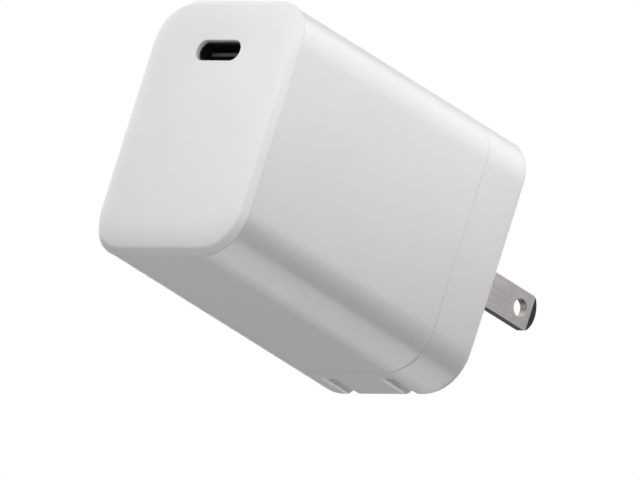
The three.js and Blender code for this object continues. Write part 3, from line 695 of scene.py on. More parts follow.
def strip_obj(name, pts, t, x0, x1, n=10):
    """Bent leaf: a flat strip with rounded edges whose centreline runs in Y and Z."""
    path = soft_path([(0, y, z) for y, z in pts], n)
    e = t * 0.42
    sec = []
    for sx, sn in ((1, 1), (-1, 1), (-1, -1), (1, -1)):
        a0 = {(1, 1): 0, (-1, 1): 90, (-1, -1): 180, (1, -1): 270}[(sx, sn)]
        for k in range(4):
            a = math.radians(a0 + 30 * k)
            sec.append((sx * ((x1 - x0) / 2 - e) + e * math.cos(a), sn * (t / 2 - e) + e * math.sin(a)))
    bm = bmesh.new(); rings = []
    for i, p in enumerate(path):
        d = np.array(path[min(i + 1, len(path) - 1)]) - np.array(path[max(i - 1, 0)])
        d /= np.linalg.norm(d)
        rings.append(add_ring(bm, [((x0 + x1) / 2 + a, p[1] - d[2] * b, p[2] + d[1] * b) for a, b in sec]))
    for a, b in zip(rings, rings[1:]):
        bridge(bm, a, b)
    bm.faces.new(rings[0]); bm.faces.new(rings[-1])
    return obj_from_bm(name, bm, 40)


def rounded_box(name, lo, hi, r, seg=3):
    ob = box_obj(lo[0], hi[0], lo[1], hi[1], lo[2], hi[2], name)
    return bevel_edges(ob, lambda p: True, r, seg, 30, 40)


def plate_obj(name, axis, a, b, u0, u1, v0, v1, r, holes=(), seg=8, edge=0.08):
    """Flat sheet across an axis, with round corners and drilled holes (u, v, radius)."""
    out = []
    for cu, cv, s0 in ((u1 - r, v1 - r, 0), (u0 + r, v1 - r, 90), (u0 + r, v0 + r, 180), (u1 - r, v0 + r, 270)):
        out += arc(cu, cv, r, s0, s0 + 90, seg)
    loops = [out] + [[(hu + hr * math.cos(2 * math.pi * k / 24), hv + hr * math.sin(2 * math.pi * k / 24)) for k in range(24)] for hu, hv, hr in holes]
    bm = bmesh.new(); caps = []
    for t in (a, b):
        rs = [add_ring(bm, [place(axis, t, u, v, (0, 0)) for u, v in lp]) for lp in loops]
        caps.append(rs); fill(bm, *rs)
    for p, q in zip(*caps):
        bridge(bm, p, q)
    ob = obj_from_bm(name, bm)
    return bevel_edges(ob, lambda p: True, edge, 2, 40, 40) if edge else ob


def joined(name, parts):
    """One object from several closed bodies."""
    bm = bmesh.new()
    for ob in parts:
        bm.from_mesh(ob.data)
        me = ob.data
        bpy.data.objects.remove(ob); bpy.data.meshes.remove(me)
    me = bpy.data.meshes.new(name); bm.to_mesh(me); bm.free()
    ob = bpy.data.objects.new(name, me)
    SCENE.collection.objects.link(ob)
    shade(ob, 40)
    return ob


# --- their materials
def board_mat(name, plane="yz"):
    """Glass-fibre board under green solder mask, with copper tracks showing through as lighter lines."""
    m, nt, p = nodes_of(name)
    v = coords(nt)
    sep = nt.nodes.new("ShaderNodeSeparateXYZ"); nt.links.new(v, sep.inputs[0])
    flat = nt.nodes.new("ShaderNodeCombineXYZ")
    nt.links.new(sep.outputs[{"x": 0, "y": 1, "z": 2}[plane[0]]], flat.inputs[0])
    nt.links.new(sep.outputs[{"x": 0, "y": 1, "z": 2}[plane[1]]], flat.inputs[1])
    br = nt.nodes.new("ShaderNodeTexBrick")
    br.inputs["Scale"].default_value = 0.55
    br.inputs["Mortar Size"].default_value = 0.09
    br.inputs["Mortar Smooth"].default_value = 0.1
    br.offset_frequency = 3
    wob = nt.nodes.new("ShaderNodeTexNoise"); wob.inputs["Scale"].default_value = 0.25
    nt.links.new(flat.outputs[0], wob.inputs["Vector"])
    add = nt.nodes.new("ShaderNodeVectorMath"); add.operation = "MULTIPLY_ADD"
    nt.links.new(wob.outputs["Color"], add.inputs[0]); add.inputs[1].default_value = (3.0, 3.0, 0.0)
    nt.links.new(flat.outputs[0], add.inputs[2])
    nt.links.new(add.outputs[0], br.inputs["Vector"])
    wv = noise(nt, coords(nt, (6000.0, 900.0, 6000.0)), 1.0, 2.0)
    base = mix_rgb(nt, br.outputs["Fac"], (0.012, 0.085, 0.038), (0.035, 0.19, 0.075))
    base = mix_rgb(nt, remap(nt, wv, 0.0, 0.25, 0.4, 0.7), base, (0.05, 0.16, 0.06))
    nt.links.new(base, p.inputs["Base Color"])
    nt.links.new(remap(nt, noise(nt, v, 2.0, 3.0), 0.24, 0.42, 0.3, 0.7), p.inputs["Roughness"])
    nt.links.new(bump(nt, math_node(nt, "ADD", math_node(nt, "MULTIPLY", br.outputs["Fac"], 1.5), wv), 0.5, 0.00002), p.inputs["Normal"])
    return m


def speckled(name, c0, c1, scale, rough, grain=0.6, dist=0.00003, metal=0.0):
    """Pressed or cast material: a fine two-tone speckle with a matching relief."""
    m, nt, p = nodes_of(name)
    v = coords(nt)
    vo = nt.nodes.new("ShaderNodeTexVoronoi"); vo.inputs["Scale"].default_value = scale
    nt.links.new(v, vo.inputs["Vector"])
    n = noise(nt, v, scale * 0.4, 4.0)
    edge = edge_mask(nt, 0.0002)
    base = mix_rgb(nt, math_node(nt, "MULTIPLY", vo.outputs["Distance"], n), c0, c1)
    base = mix_rgb(nt, edge, base, tuple(min(1.0, x * 1.5 + 0.03) for x in c1))
    nt.links.new(base, p.inputs["Base Color"])
    nt.links.new(remap(nt, n, rough - 0.08, rough + 0.08, 0.3, 0.7), p.inputs["Roughness"])
    p.inputs["Metallic"].default_value = metal
    nt.links.new(bump(nt, vo.outputs["Distance"], grain, dist), p.inputs["Normal"])
    return m


def wrapped(name, c0, c1, pitch, rough=0.3, axis=0, coat=0.4, metal=0.0):
    """Wound tape or sleeve: lines across one axis, with a glossy film over it."""
    m, nt, p = nodes_of(name)
    v = coords(nt)
    wv = nt.nodes.new("ShaderNodeTexWave"); wv.wave_type = "BANDS"
    wv.bands_direction = "XYZ"[axis]
    wv.inputs["Scale"].default_value = 0.3142 / pitch * 2
    wv.inputs["Distortion"].default_value = 0.6
    wv.inputs["Detail"].default_value = 2.0
    nt.links.new(v, wv.inputs["Vector"])
    n = noise(nt, v, 0.8, 4.0)
    base = mix_rgb(nt, math_node(nt, "MULTIPLY", wv.outputs["Fac"], n), c0, c1)
    nt.links.new(base, p.inputs["Base Color"])
    nt.links.new(remap(nt, n, rough - 0.06, rough + 0.10, 0.3, 0.7), p.inputs["Roughness"])
    p.inputs["Metallic"].default_value = metal
    p.inputs["Coat Weight"].default_value = coat
    p.inputs["Coat Roughness"].default_value = 0.15
    nt.links.new(bump(nt, wv.outputs["Fac"], 0.35, 0.00003), p.inputs["Normal"])
    return m


i_black = satin("inner_black", (0.022, 0.022, 0.024), 0.48, tone=0.004, wear=0.03)
i_light = satin("inner_grey_plastic", (0.56, 0.555, 0.54), 0.46, tone=0.02, wear=0.04)
i_spring = plated("spring_steel", (0.62, 0.61, 0.59), 0.24, along="z")
i_brass = plated("contact_brass", (0.62, 0.42, 0.17), 0.28, along="z")
i_screw = plated("screw_steel", (0.58, 0.58, 0.57), 0.27, along="y")
i_solder = speckled("solder", (0.45, 0.45, 0.46), (0.66, 0.66, 0.67), 1.6, 0.26, 0.3, metal=1.0)
i_board = board_mat("board_green", "yz")
i_board2 = board_mat("port_board_green", "xy")
i_ferrite = speckled("ferrite", (0.018, 0.018, 0.020), (0.075, 0.073, 0.075), 5.0, 0.55)
i_tape = wrapped("winding_tape", (0.62, 0.36, 0.03), (0.80, 0.52, 0.07), 0.5, 0.26)
i_choke = speckled("choke_coating", (0.02, 0.085, 0.035), (0.05, 0.15, 0.06), 2.5, 0.42)
i_copper = wrapped("enamelled_copper", (0.42, 0.13, 0.035), (0.62, 0.24, 0.07), 0.35, 0.22, 1, 0.6, 1.0)
i_film = satin("film_capacitor", (0.58, 0.42, 0.055), 0.38, tone=0.02, wear=0.05)
i_disc = speckled("disc_capacitor", (0.02, 0.12, 0.36), (0.04, 0.19, 0.47), 1.2, 0.30, 0.4)
i_fuse = wrapped("fuse_sleeve", (0.055, 0.024, 0.014), (0.10, 0.046, 0.025), 0.7, 0.40, 0, 0.15)
i_chip = speckled("chip_epoxy", (0.012, 0.012, 0.013), (0.035, 0.035, 0.037), 9.0, 0.58, 0.4, 0.00001)
i_sleeve = wrapped("can_sleeve", (0.016, 0.020, 0.032), (0.035, 0.043, 0.062), 1.4, 0.30, 1, 0.35)
i_can = plated("can_aluminium", (0.74, 0.745, 0.75), 0.25, along="x", aniso=0.5)
i_inductor = speckled("inductor_powder", (0.05, 0.05, 0.054), (0.13, 0.13, 0.135), 6.0, 0.62)
i_opto = satin("optocoupler_white", (0.66, 0.65, 0.61), 0.44, tone=0.02)
i_sheet = wrapped("insulation_film", (0.55, 0.48, 0.33), (0.66, 0.59, 0.43), 2.5, 0.22, 1, 0.5)
i_cu = plated("copper_sheet", (0.68, 0.34, 0.19), 0.30, along="y", dark=0.7)
i_red = satin("wire_line", (0.22, 0.014, 0.012), 0.36, tone=0.01)
i_dark = satin("wire_neutral", (0.015, 0.015, 0.017), 0.36, tone=0.003)


def make_carrier():
    e = 0.25
    r = BARREL_R
    prof = [(0, -10.2), (0.7, -10.2), (0.9, -10.05), (r - e - 0.05, -10.2), (r - e * 0.3, -10.2 + e * 0.3), (r, -10.2 + e)]
    prof += [(r, -8.0), (r, -4.6), (r, -2.62), (r + 0.06, -2.5), (CAM_R - 0.08, -2.5), (CAM_R, -2.42)]
    ob = lathe_obj("carrier_body", prof + [(r, -t) for r, t in reversed(prof)], "x", (0, 0), 72)
    boolean(ob, box_obj(-3, 3, -4, -CAM_FLAT, -4, 4))
    boolean(ob, box_obj(-3, 3, -4, 4, -4, -CAM_FLAT))
    for s in (1, -1):
        x0, x1 = s * BX - BLADE_T / 2 - 0.05, s * BX + BLADE_T / 2 + 0.05
        ring = box_obj(x0, x1, -3, 3, -3, 3)
        boolean(ring, box_obj(x0 - 1, x1 + 1, -1.25, 1.25, -1.25, 1.25))
        boolean(ob, ring)
    bevel_edges(ob, lambda p: abs(p.x) < 2.6, 0.1, 2, 25, 32)
    ob.data.transform(Matrix.Translation((0, PIVOT / 1000, 0)))
    return ob


def make_retainer():
    ob = box_obj(-13.6, 13.6, -10.2, -8.8, -3.2, 3.2, "retainer_body")
    for s in (1, -1):
        x = sorted((s * 8.6, s * 10.1))
        boolean(ob, box_obj(x[0], x[1], -9.3, -4.2, -1.85, 1.85), "UNION")
        boolean(ob, cyl_obj("y", 1.1, -12, -8, s * 12.1, 0, 40))
        boolean(ob, box_obj(s * BX - 1.5, s * BX + 1.5, -12, -8, -2.2, 4))
    boolean(ob, box_obj(-4.0, 4.0, -10.6, -9.75, -2.2, 2.2))
    boolean(ob, cyl_obj("x", BORE_R, -11, 11, PIVOT, 0, 72))
    return bevel_edges(ob, lambda p: True, 0.16, 2, 40, 32)


def make_screw(name, xc):
    """Pan head with a cross recess over a coarse single-start thread."""
    bm = bmesh.new(); seg, r0, r1, pitch = 28, 0.60, 0.76, 0.62
    rows = []
    y = -10.2
    steps = int(6.9 / pitch * 10)
    for i in range(steps + 1):
        yy = -10.2 + 6.9 * i / steps
        taper = 1.0 if yy < -3.9 else max(0.25, 1 - (yy + 3.9) / 0.8)
        row = []
        for k in range(seg):
            f = ((yy / pitch) - k / seg) % 1.0
            ridge = max(0.0, 1 - abs(f - 0.5) / 0.28)
            r = (r0 + (r1 - r0) * ridge) * taper
            a = 2 * math.pi * k / seg
            row.append(bm.verts.new((xc + r * math.cos(a), yy, r * math.sin(a))))
        rows.append(row)
    for a, b in zip(rows, rows[1:]):
        bridge(bm, a, b)
    bm.faces.new(rows[-1])
    head = [(1.42, -10.26), (1.56, -10.30), (1.6, -10.42), (1.56, -10.72), (1.4, -11.0), (1.12, -11.2), (0.7, -11.3)]
    prev = rows[0]
    for r, yy in head:
        ring = add_ring(bm, [(xc + r * math.cos(2 * math.pi * k / seg), yy, r * math.sin(2 * math.pi * k / seg)) for k in range(seg)])
        bridge(bm, prev, ring); prev = ring
    bm.faces.new(prev)
    ob = obj_from_bm(name, bm, 38)
    boolean(ob, box_obj(xc - 1.0, xc + 1.0, -12, -10.85, -0.22, 0.22))
    boolean(ob, box_obj(xc - 0.22, xc + 0.22, -12, -10.85, -1.0, 1.0))
    shade(ob, 38)
    return ob


put(make_carrier(), "prongs", "black_plastic", i_black, "blade_carrier")
put(make_retainer(), "housing", "inner_plastic", i_light, "carrier_retainer")
for nm, s in (("retainer_screw_right", 1), ("retainer_screw_left", -1)):
    put(make_screw(nm + "_body", s * 12.1), "housing", "screw_steel", i_screw, nm)
put(strip_obj("detent_leaf", [(-8.55, -5.2), (-8.5, -3.4), (-6.9, -1.6), (-5.68, 0), (-6.9, 1.6), (-8.5, 3.4), (-8.55, 5.2)], 0.35, -2.1, 2.1),
    "housing", "spring_steel", i_spring, "detent_spring")
for nm, s in (("contact_spring_right", 1), ("contact_spring_left", -1)):
    put(strip_obj(nm + "_leaf", [(-8.56, 10.0), (-8.56, 7.2), (-8.5, 5.6), (-8.15, 4.0), (-6.9, 2.2), (-6.27, 0.8), (-6.25, -0.2), (-6.45, -1.2)], 0.35, s * BX - 0.7, s * BX + 0.7),
        "housing", "contact_brass", i_brass, nm)

# boards, with solder joints behind and small chip parts in front
put(plate_obj("main_board_body", "x", -12.6, -11.4, -50, -13, -17, 17, 0.8, [(-47.5, -14.5, 1.0), (-47.5, 14.5, 1.0)]), "housing", "board", i_board, "main_board")
put(plate_obj("port_board_body", "z", 9.4, 10.4, -11.2, 9.0, -51, -37, 0.5, [(-4.6, -48.9, 0.62), (4.6, -48.9, 0.62)]), "housing", "board", i_board2, "usb_board")


def domes(name, places):
    parts = []
    for axis, t, u, v, r, h in places:
        parts.append(lathe_obj("d", [(r, t), (r * 0.93, t + h * 0.25), (r * 0.62, t + h * 0.7), (r * 0.25, t + h), (0, t + h)] if h > 0 else
                               [(0, t + h), (r * 0.25, t + h), (r * 0.62, t + h * 0.7), (r * 0.93, t + h * 0.25), (r, t)], axis, (u, v), 16))
        fillers = parts[-1]
        bm = bmesh.new(); bm.from_mesh(fillers.data)
        bmesh.ops.holes_fill(bm, edges=bm.edges, sides=0)
        bmesh.ops.recalc_face_normals(bm, faces=bm.faces)
        bm.to_mesh(fillers.data); bm.free()
    return joined(name, parts)


joints = [("x", -12.61, y, z, 0.62, -0.22) for y in (-35.2, -33.1, -31.0, -28.9, -26.8) for z in (-14.9, 1.7)]
joints += [("x", -12.61, y, z, 0.7, -0.24) for y, z in ((-24.0, -8.2), (-14.2, -8.2), (-15.6, 6.0), (-20.8, 6.0), (-15.6, 11.4), (-20.8, 11.4),
                                                      (-41.8, -6.0), (-46.6, -6.0), (-27.6, 9.4), (-27.6, 15.8), (-16.0, 14.8), (-14.9, -1.2))]
put(domes("board_solder", joints), "housing", "screw_steel", i_solder)


def chip_part(x0, x1, y0, y1, z0, z1):
    return rounded_box("c", (x0, y0, z0), (x1, y1, z1), 0.06, 2)


small = [(-47.8, 3.2), (-47.8, 1.4), (-47.8, -0.6), (-36.9, 2.3), (-34.9, 2.3), (-32.9, 2.3), (-30.9, 2.3), (-37.6, 12.8), (-35.6, 12.8), (-33.6, 12.8), (-36.6, 14.8), (-34.4, 14.8)]
put(joined("board_small_parts", [chip_part(-11.38, -10.92, y - 0.42, y + 0.42, z - 0.8, z + 0.8) for y, z in small]
           + [chip_part(x - 0.8, x + 0.8, y - 0.42, y + 0.42, 10.42, 10.86) for x, y in ((-4.2, -44.6), (-1.8, -44.6), (0.8, -44.6), (3.4, -44.6), (-7.6, -41.5), (-7.6, -39.6))]),
    "housing", "chip", speckled("small_part_ceramic", (0.30, 0.22, 0.14), (0.42, 0.32, 0.21), 4.0, 0.4, 0.3))
put(joined("board_part_ends", [chip_part(-11.39, -10.90, y - 0.44, y + 0.44, z + e - 0.16, z + e + 0.16) for y, z in small for e in (-0.72, 0.72)]
           + [chip_part(x + e - 0.16, x + e + 0.16, y - 0.44, y + 0.44, 10.41, 10.88) for x, y in ((-4.2, -44.6), (-1.8, -44.6), (0.8, -44.6), (3.4, -44.6), (-7.6, -41.5), (-7.6, -39.6)) for e in (-0.72, 0.72)]),
    "housing", "screw_steel", i_solder)

# transformer
TX = (-3.35, -31.0, -6.6)


def make_core(name, s):
    ob = box_obj(*sorted((-7.0 * s, -0.06 * s)), -8.5, 8.5, -7.4, 7.4, name)
    cutter = box_obj(*sorted((-4.4 * s, 1 * s)), -5.9, 5.9, -8, 8)
    boolean(cutter, cyl_obj("x", 3.2, -8, 8, 0, 0, 56))
    boolean(ob, cutter)
    bevel_edges(ob, lambda p: True, 0.3, 3, 40, 32)
    ob.data.transform(Matrix.Translation([v / 1000 for v in TX]))
    return ob


put(make_core("core_half_lower", 1), "housing", "ferrite", i_ferrite, "transformer_core_lower")
put(make_core("core_half_upper", -1), "housing", "ferrite", i_ferrite, "transformer_core_upper")


def make_bobbin():
    ob = lathe_obj("bobbin_body", [(3.45, -4.2), (5.5, -4.2), (5.6, -4.1), (5.6, -3.7), (5.5, -3.6), (4.0, -3.6), (4.0, 3.6), (5.5, 3.6), (5.6, 3.7), (5.6, 4.1), (5.5, 4.2), (3.45, 4.2)], "x", (0, 0), 56, True)
    for z in (-1, 1):
        rail = rounded_box("r", (-7.9, -4.6, min(z * 7.7, z * 8.9)), (-3.6, 4.6, max(z * 7.7, z * 8.9)), 0.12, 2)
        for k in range(4):                                # wire slots between the pins
            boolean(rail, box_obj(-8.2, -6.9, -3.6 + 2.1 * k + 0.2, -3.6 + 2.1 * k + 0.7, *sorted((z * 8.3, z * 9.2))))
        boolean(ob, rail, "UNION")
        boolean(ob, box_obj(-4.2, -3.6, -4.6, 4.6, *sorted((z * 3.9, z * 8.0))), "UNION")
    shade(ob, 32)
    ob.data.transform(Matrix.Translation([v / 1000 for v in TX]))
    return ob


put(make_bobbin(), "housing", "black_plastic", i_black, "transformer_bobbin")
wind = [(4.1, -3.5)]
for k in range(29):                                        # taped layers, with the wire showing as low ridges
    t = -3.4 + 6.8 * k / 28
    wind.append((5.38 + 0.09 * (k % 2) - (0.12 if abs(t) > 3.2 else 0), t))
wind.append((4.1, 3.5))
put(lathe_obj("winding_body", [(r, TX[0] + t) for r, t in wind], "x", TX[1:], 72, True), "housing", "winding_tape", i_tape, "transformer_winding")

# mains choke
CH = (-5.6, -18.2, 8.6)
put(lathe_obj("choke_ring", [(3.3 + 1.33 * math.cos(2 * math.pi * k / 20) * (0.98 if k % 5 else 1.0), CH[1] + 1.33 * math.sin(2 * math.pi * k / 20)) for k in range(20)],
              "y", (CH[0], CH[2]), 64, True), "housing", "choke_core", i_choke, "choke_core")
for nm, flip in (("choke_winding_upper", 1), ("choke_winding_lower", -1)):
    path = []
    for i in range(197):
        t = i / 196
        a, b = math.radians(18 + 144 * t), 2 * math.pi * 7 * t + math.pi / 2
        r = 3.3 + 1.85 * math.cos(b)
        x, y, z = r * math.cos(a), 1.85 * math.sin(b), r * math.sin(a)
        path.append((CH[0] + x * flip, CH[1] + y, CH[2] + z * flip))
    put(tube_obj(nm + "_wire", path, 0.33, 12), "housing", "copper_wire", i_copper, nm)

# capacitors, fuse, rectifier
lo, hi = box_of("x_capacitor")
ob = rounded_box("x_capacitor_body", lo, hi, 0.45, 4)
boolean(ob, box_obj(hi[0] - 0.25, hi[0] + 1, lo[1] + 0.9, hi[1] - 0.9, lo[2] + 0.9, hi[2] - 0.9))
put(bevel_edges(ob, lambda p: p.x > hi[0] - 0.3, 0.08, 2, 60, 40), "housing", "film_capacitor", i_film, "x_capacitor")
lo, hi = box_of("y_capacitor")
cx, cz, yc = (lo[0] + hi[0]) / 2, (lo[2] + hi[2]) / 2, (lo[1] + hi[1]) / 2
put(lathe_obj("y_capacitor_body", [(0, yc - 1.05)] + [(2.2 + 1.17 * math.sin(math.radians(a)), yc - 1.07 * math.cos(math.radians(a))) for a in range(0, 181, 12)] + [(0, yc + 1.05)],
              "y", (cx, cz), 48), "housing", "disc_capacitor", i_disc, "y_capacitor")
lo, hi = box_of("fuse")
yc, zc = (lo[1] + hi[1]) / 2, (lo[2] + hi[2]) / 2
r = (hi[1] - lo[1]) / 2
put(lathe_obj("fuse_body", [(0, lo[0]), (r - 0.35, lo[0]), (r - 0.1, lo[0] + 0.12), (r, lo[0] + 0.4), (r, lo[0] + 1.2), (r - 0.12, lo[0] + 1.4), (r - 0.12, hi[0] - 1.5), (r, hi[0] - 1.3),
                            (r, hi[0] - 0.5), (r - 0.25, hi[0] - 0.15), (r - 0.7, hi[0]), (0, hi[0])], "x", (yc, zc), 48), "housing", "fuse_body", i_fuse, "fuse")


def leads(name, node, axis_long, n, reach=0.55, w=0.5):
    """Flat tinned legs along the two long sides of a board-mounted package, down to the board."""
    lo, hi = box_of(node)
    parts = []
    i = {"y": 1, "z": 2}[axis_long]; j = 3 - i
    for k in range(n):
        c = lo[i] + (hi[i] - lo[i]) * (k + 0.5) / n
        for s in (-1, 1):
            edge = hi[j] if s > 0 else lo[j]
            pts = [(edge - s * 0.02, lo[0] + 0.9), (edge + s * reach * 0.45, lo[0] + 0.85), (edge + s * reach * 0.6, lo[0] + 0.15), (edge + s * reach, lo[0] + 0.06)]
            bm = bmesh.new(); rings = []
            for q, (u, x) in enumerate(pts):
                h = 0.06
                cs = [(x - h, c - w / 2), (x + h, c - w / 2), (x + h, c + w / 2), (x - h, c + w / 2)]
                rings.append(add_ring(bm, [(xx, cc, u) if i == 1 else (xx, u, cc) for xx, cc in cs]))
            for a, b in zip(rings, rings[1:]):
                bridge(bm, a, b)
            bm.faces.new(rings[0]); bm.faces.new(rings[-1])
            parts.append(obj_from_bm("l", bm))
    return joined(name, parts)


def package(node, r=0.14, dot=0.35, slot="chip", mat=i_chip):
    lo, hi = box_of(node)
    ob = rounded_box(node + "_body", lo, hi, r, 2)
    boolean(ob, cyl_obj("x", dot, hi[0] - 0.08, hi[0] + 1, lo[1] + dot + 0.45, hi[2] - dot - 0.45, 28))
    shade(ob, 30)
    return put(ob, "housing", slot, mat, node)


package("bridge_rectifier")
package("primary_switch")
package("sync_rectifier", 0.1, 0.3)
package("optocoupler", 0.18, 0.35, "optocoupler", i_opto)
for nm, node, ax, n in (("bridge_legs", "bridge_rectifier", "y", 2), ("optocoupler_legs", "optocoupler", "y", 2)):
    put(leads(nm, node, ax, n), "housing", "screw_steel", i_solder)
lo, hi = box_of("pd_controller")
ob = rounded_box("pd_controller_body", lo, hi, 0.08, 2)
boolean(ob, cyl_obj("z", 0.22, lo[2] - 1, lo[2] + 0.06, lo[0] + 0.6, lo[1] + 0.6, 24))
put(ob, "housing", "chip", i_chip, "pd_controller")
put(joined("controller_pads", [chip_part(lo[0] + 0.45 + 0.5 * k - 0.12, lo[0] + 0.45 + 0.5 * k + 0.12, y0, y0 + 0.22, hi[2] - 0.2, hi[2] + 0.08)
                               for k in range(7) for y0 in (lo[1] - 0.18, hi[1] - 0.04)]), "housing", "screw_steel", i_solder)


def make_can(node, name, axis, open_low, bung, vent=True):
    """Electrolytic can: rolled groove near the seal, crimped rim, rounded far end with a scored vent."""
    lo, hi = box_of(node)
    i = {"x": 0, "y": 1, "z": 2}[axis]
    c = [(lo[k] + hi[k]) / 2 for k in range(3) if k != i]
    r = min(hi[k] - lo[k] for k in range(3) if k != i) / 2
    a, b = (lo[i], hi[i]) if open_low else (hi[i], lo[i])
    s = 1 if open_low else -1
    prof = [(0, a + s * 0.25), (r - 1.0, a + s * 0.25), (r - 0.9, a + s * 0.02), (r - 0.3, a), (r - 0.08, a + s * 0.12), (r, a + s * 0.35), (r, a + s * 1.35)]
    prof += [(r - 0.4 * math.sin(math.radians(t)) ** 2, a + s * (1.35 + 1.1 * t / 180)) for t in range(20, 161, 20)]
    prof += [(r, a + s * 2.5), (r, a + s * 4.0), (r, b - s * 2.0), (r, b - s * 0.6)]
    prof += [(r - 0.55 * (1 - math.cos(math.radians(t))), b - s * 0.6 + s * 0.55 * math.sin(math.radians(t))) for t in (20, 45, 70, 90)]
    prof += [(r - 0.9, b - s * 0.05), (r - 1.0, b - s * 0.16), (0, b - s * 0.16)]
    ob = lathe_obj(name, prof, axis, c, 64)
    if vent:
        for q in range(3):
            w = box_obj(-0.07, 0.07, -r * 0.72, r * 0.72, -0.09, 0.09)
            w.data.transform(Matrix.Rotation(math.pi / 3 * q, 4, "Z"))
            if axis == "y":
                w.data.transform(Matrix.Rotation(math.pi / 2, 4, "X"))
            end = b - s * 0.16
            w.data.transform(Matrix.Translation([v / 1000 for v in place(axis, end, 0, 0, c)]))
            boolean(ob, w)
    shade(ob, 32)
    return ob


for nm in ("lower", "upper"):
    put(make_can("bulk_capacitor_" + nm, "bulk_can_" + nm, "y", True, True), "housing", "can_sleeve", i_sleeve, "bulk_capacitor_" + nm)
for nm in ("left", "right"):
    put(make_can("output_capacitor_" + nm, "output_can_" + nm, "z", False, True), "housing", "can_metal", i_can, "output_capacitor_" + nm)
lo, hi = box_of("output_inductor")
ob = box_obj(lo[0], hi[0], lo[1], hi[1], lo[2], hi[2], "inductor_body")
boolean(ob, box_obj(lo[0] - 1, hi[0] + 1, lo[1] - 1, lo[1] + 0.4, lo[2] - 1, lo[2] + 0.5))
boolean(ob, box_obj(lo[0] - 1, hi[0] + 1, hi[1] - 0.4, hi[1] + 1, lo[2] - 1, lo[2] + 0.5))
boolean(ob, cyl_obj("z", 1.9, lo[2] - 1, lo[2] + 0.12, (lo[0] + hi[0]) / 2, (lo[1] + hi[1]) / 2, 40))
put(bevel_edges(ob, lambda p: True, 0.15, 2, 40, 32), "housing", "inductor", i_inductor, "output_inductor")

# heat path and mains wires
put(plate_obj("insulation_film", "x", -13.1, -12.9, -50, -13, -14.4, 14.4, 1.2, [(-47.5, -12.6, 0.7), (-47.5, 12.6, 0.7)], edge=0), "housing", "insulation_film", i_sheet, "insulation_sheet")
put(plate_obj("spreader_plate", "x", -13.8, -13.3, -48, -15, -13.2, 13.2, 1.0, [(-31.5, 0, 1.6), (-44.0, -9.0, 0.9), (-44.0, 9.0, 0.9), (-19.0, -9.0, 0.9), (-19.0, 9.0, 0.9)], edge=0.07),
    "housing", "copper_sheet", i_cu, "heat_spreader")
put(tube_obj("line_wire_body", soft_path([(6.35, -9.5, 9.0), (5.6, -11.2, 10.2), (1.5, -12.6, 13.4), (-5.0, -13.0, 15.6), (-9.0, -14.6, 15.2), (-10.8, -16.0, 14.8)], 10), 0.58, 16),
    "housing", "wire_line", i_red, "line_wire")
put(tube_obj("neutral_wire_body", soft_path([(-6.35, -9.5, 9.0), (-7.0, -11.4, 7.4), (-8.4, -13.0, 2.0), (-10.0, -14.0, -0.4), (-10.8, -14.9, -1.2)], 10), 0.58, 16),
    "housing", "wire_neutral", i_dark, "neutral_wire")



# ------------------------------------------------------------------ camera
K = 6.49                                             # frame pixels to the millimetre
R_ = Vector((0.7094, 0.6439, 0.2865)).normalized()    # picture right, in the row frame
U_ = Vector((-0.0037, -0.4031, 0.9151))
U_ = (U_ - R_ * U_.dot(R_)).normalized()              # picture up
B_ = R_.cross(U_).normalized()                        # towards the viewer
CAM_U, CAM_V = 310.9, 196.97                          # where the body's centre falls in the frame
centre = Vector((0.0, -D / 2, 0.0)) + R_ * ((320 - CAM_U) / K) - U_ * ((240 - CAM_V) / K)
cam_data = bpy.data.cameras.new("camera")
cam_data.type = "ORTHO"
cam_data.ortho_scale = 640 / K / 1000
cam_data.clip_start, cam_data.clip_end = 0.01, 20.0
cam = bpy.data.objects.new("camera", cam_data)
cam.matrix_world = Matrix(((R_.x, U_.x, B_.x, 0), (R_.y, U_.y, B_.y, 0), (R_.z, U_.z, B_.z, 0), (0, 0, 0, 1)))
cam.location = (centre + B_ * 320.0) / 1000
SCENE.collection.objects.link(cam)
SCENE.camera = cam
SCENE.view_settings.view_transform = "Standard"
SCENE.view_settings.look = "None"


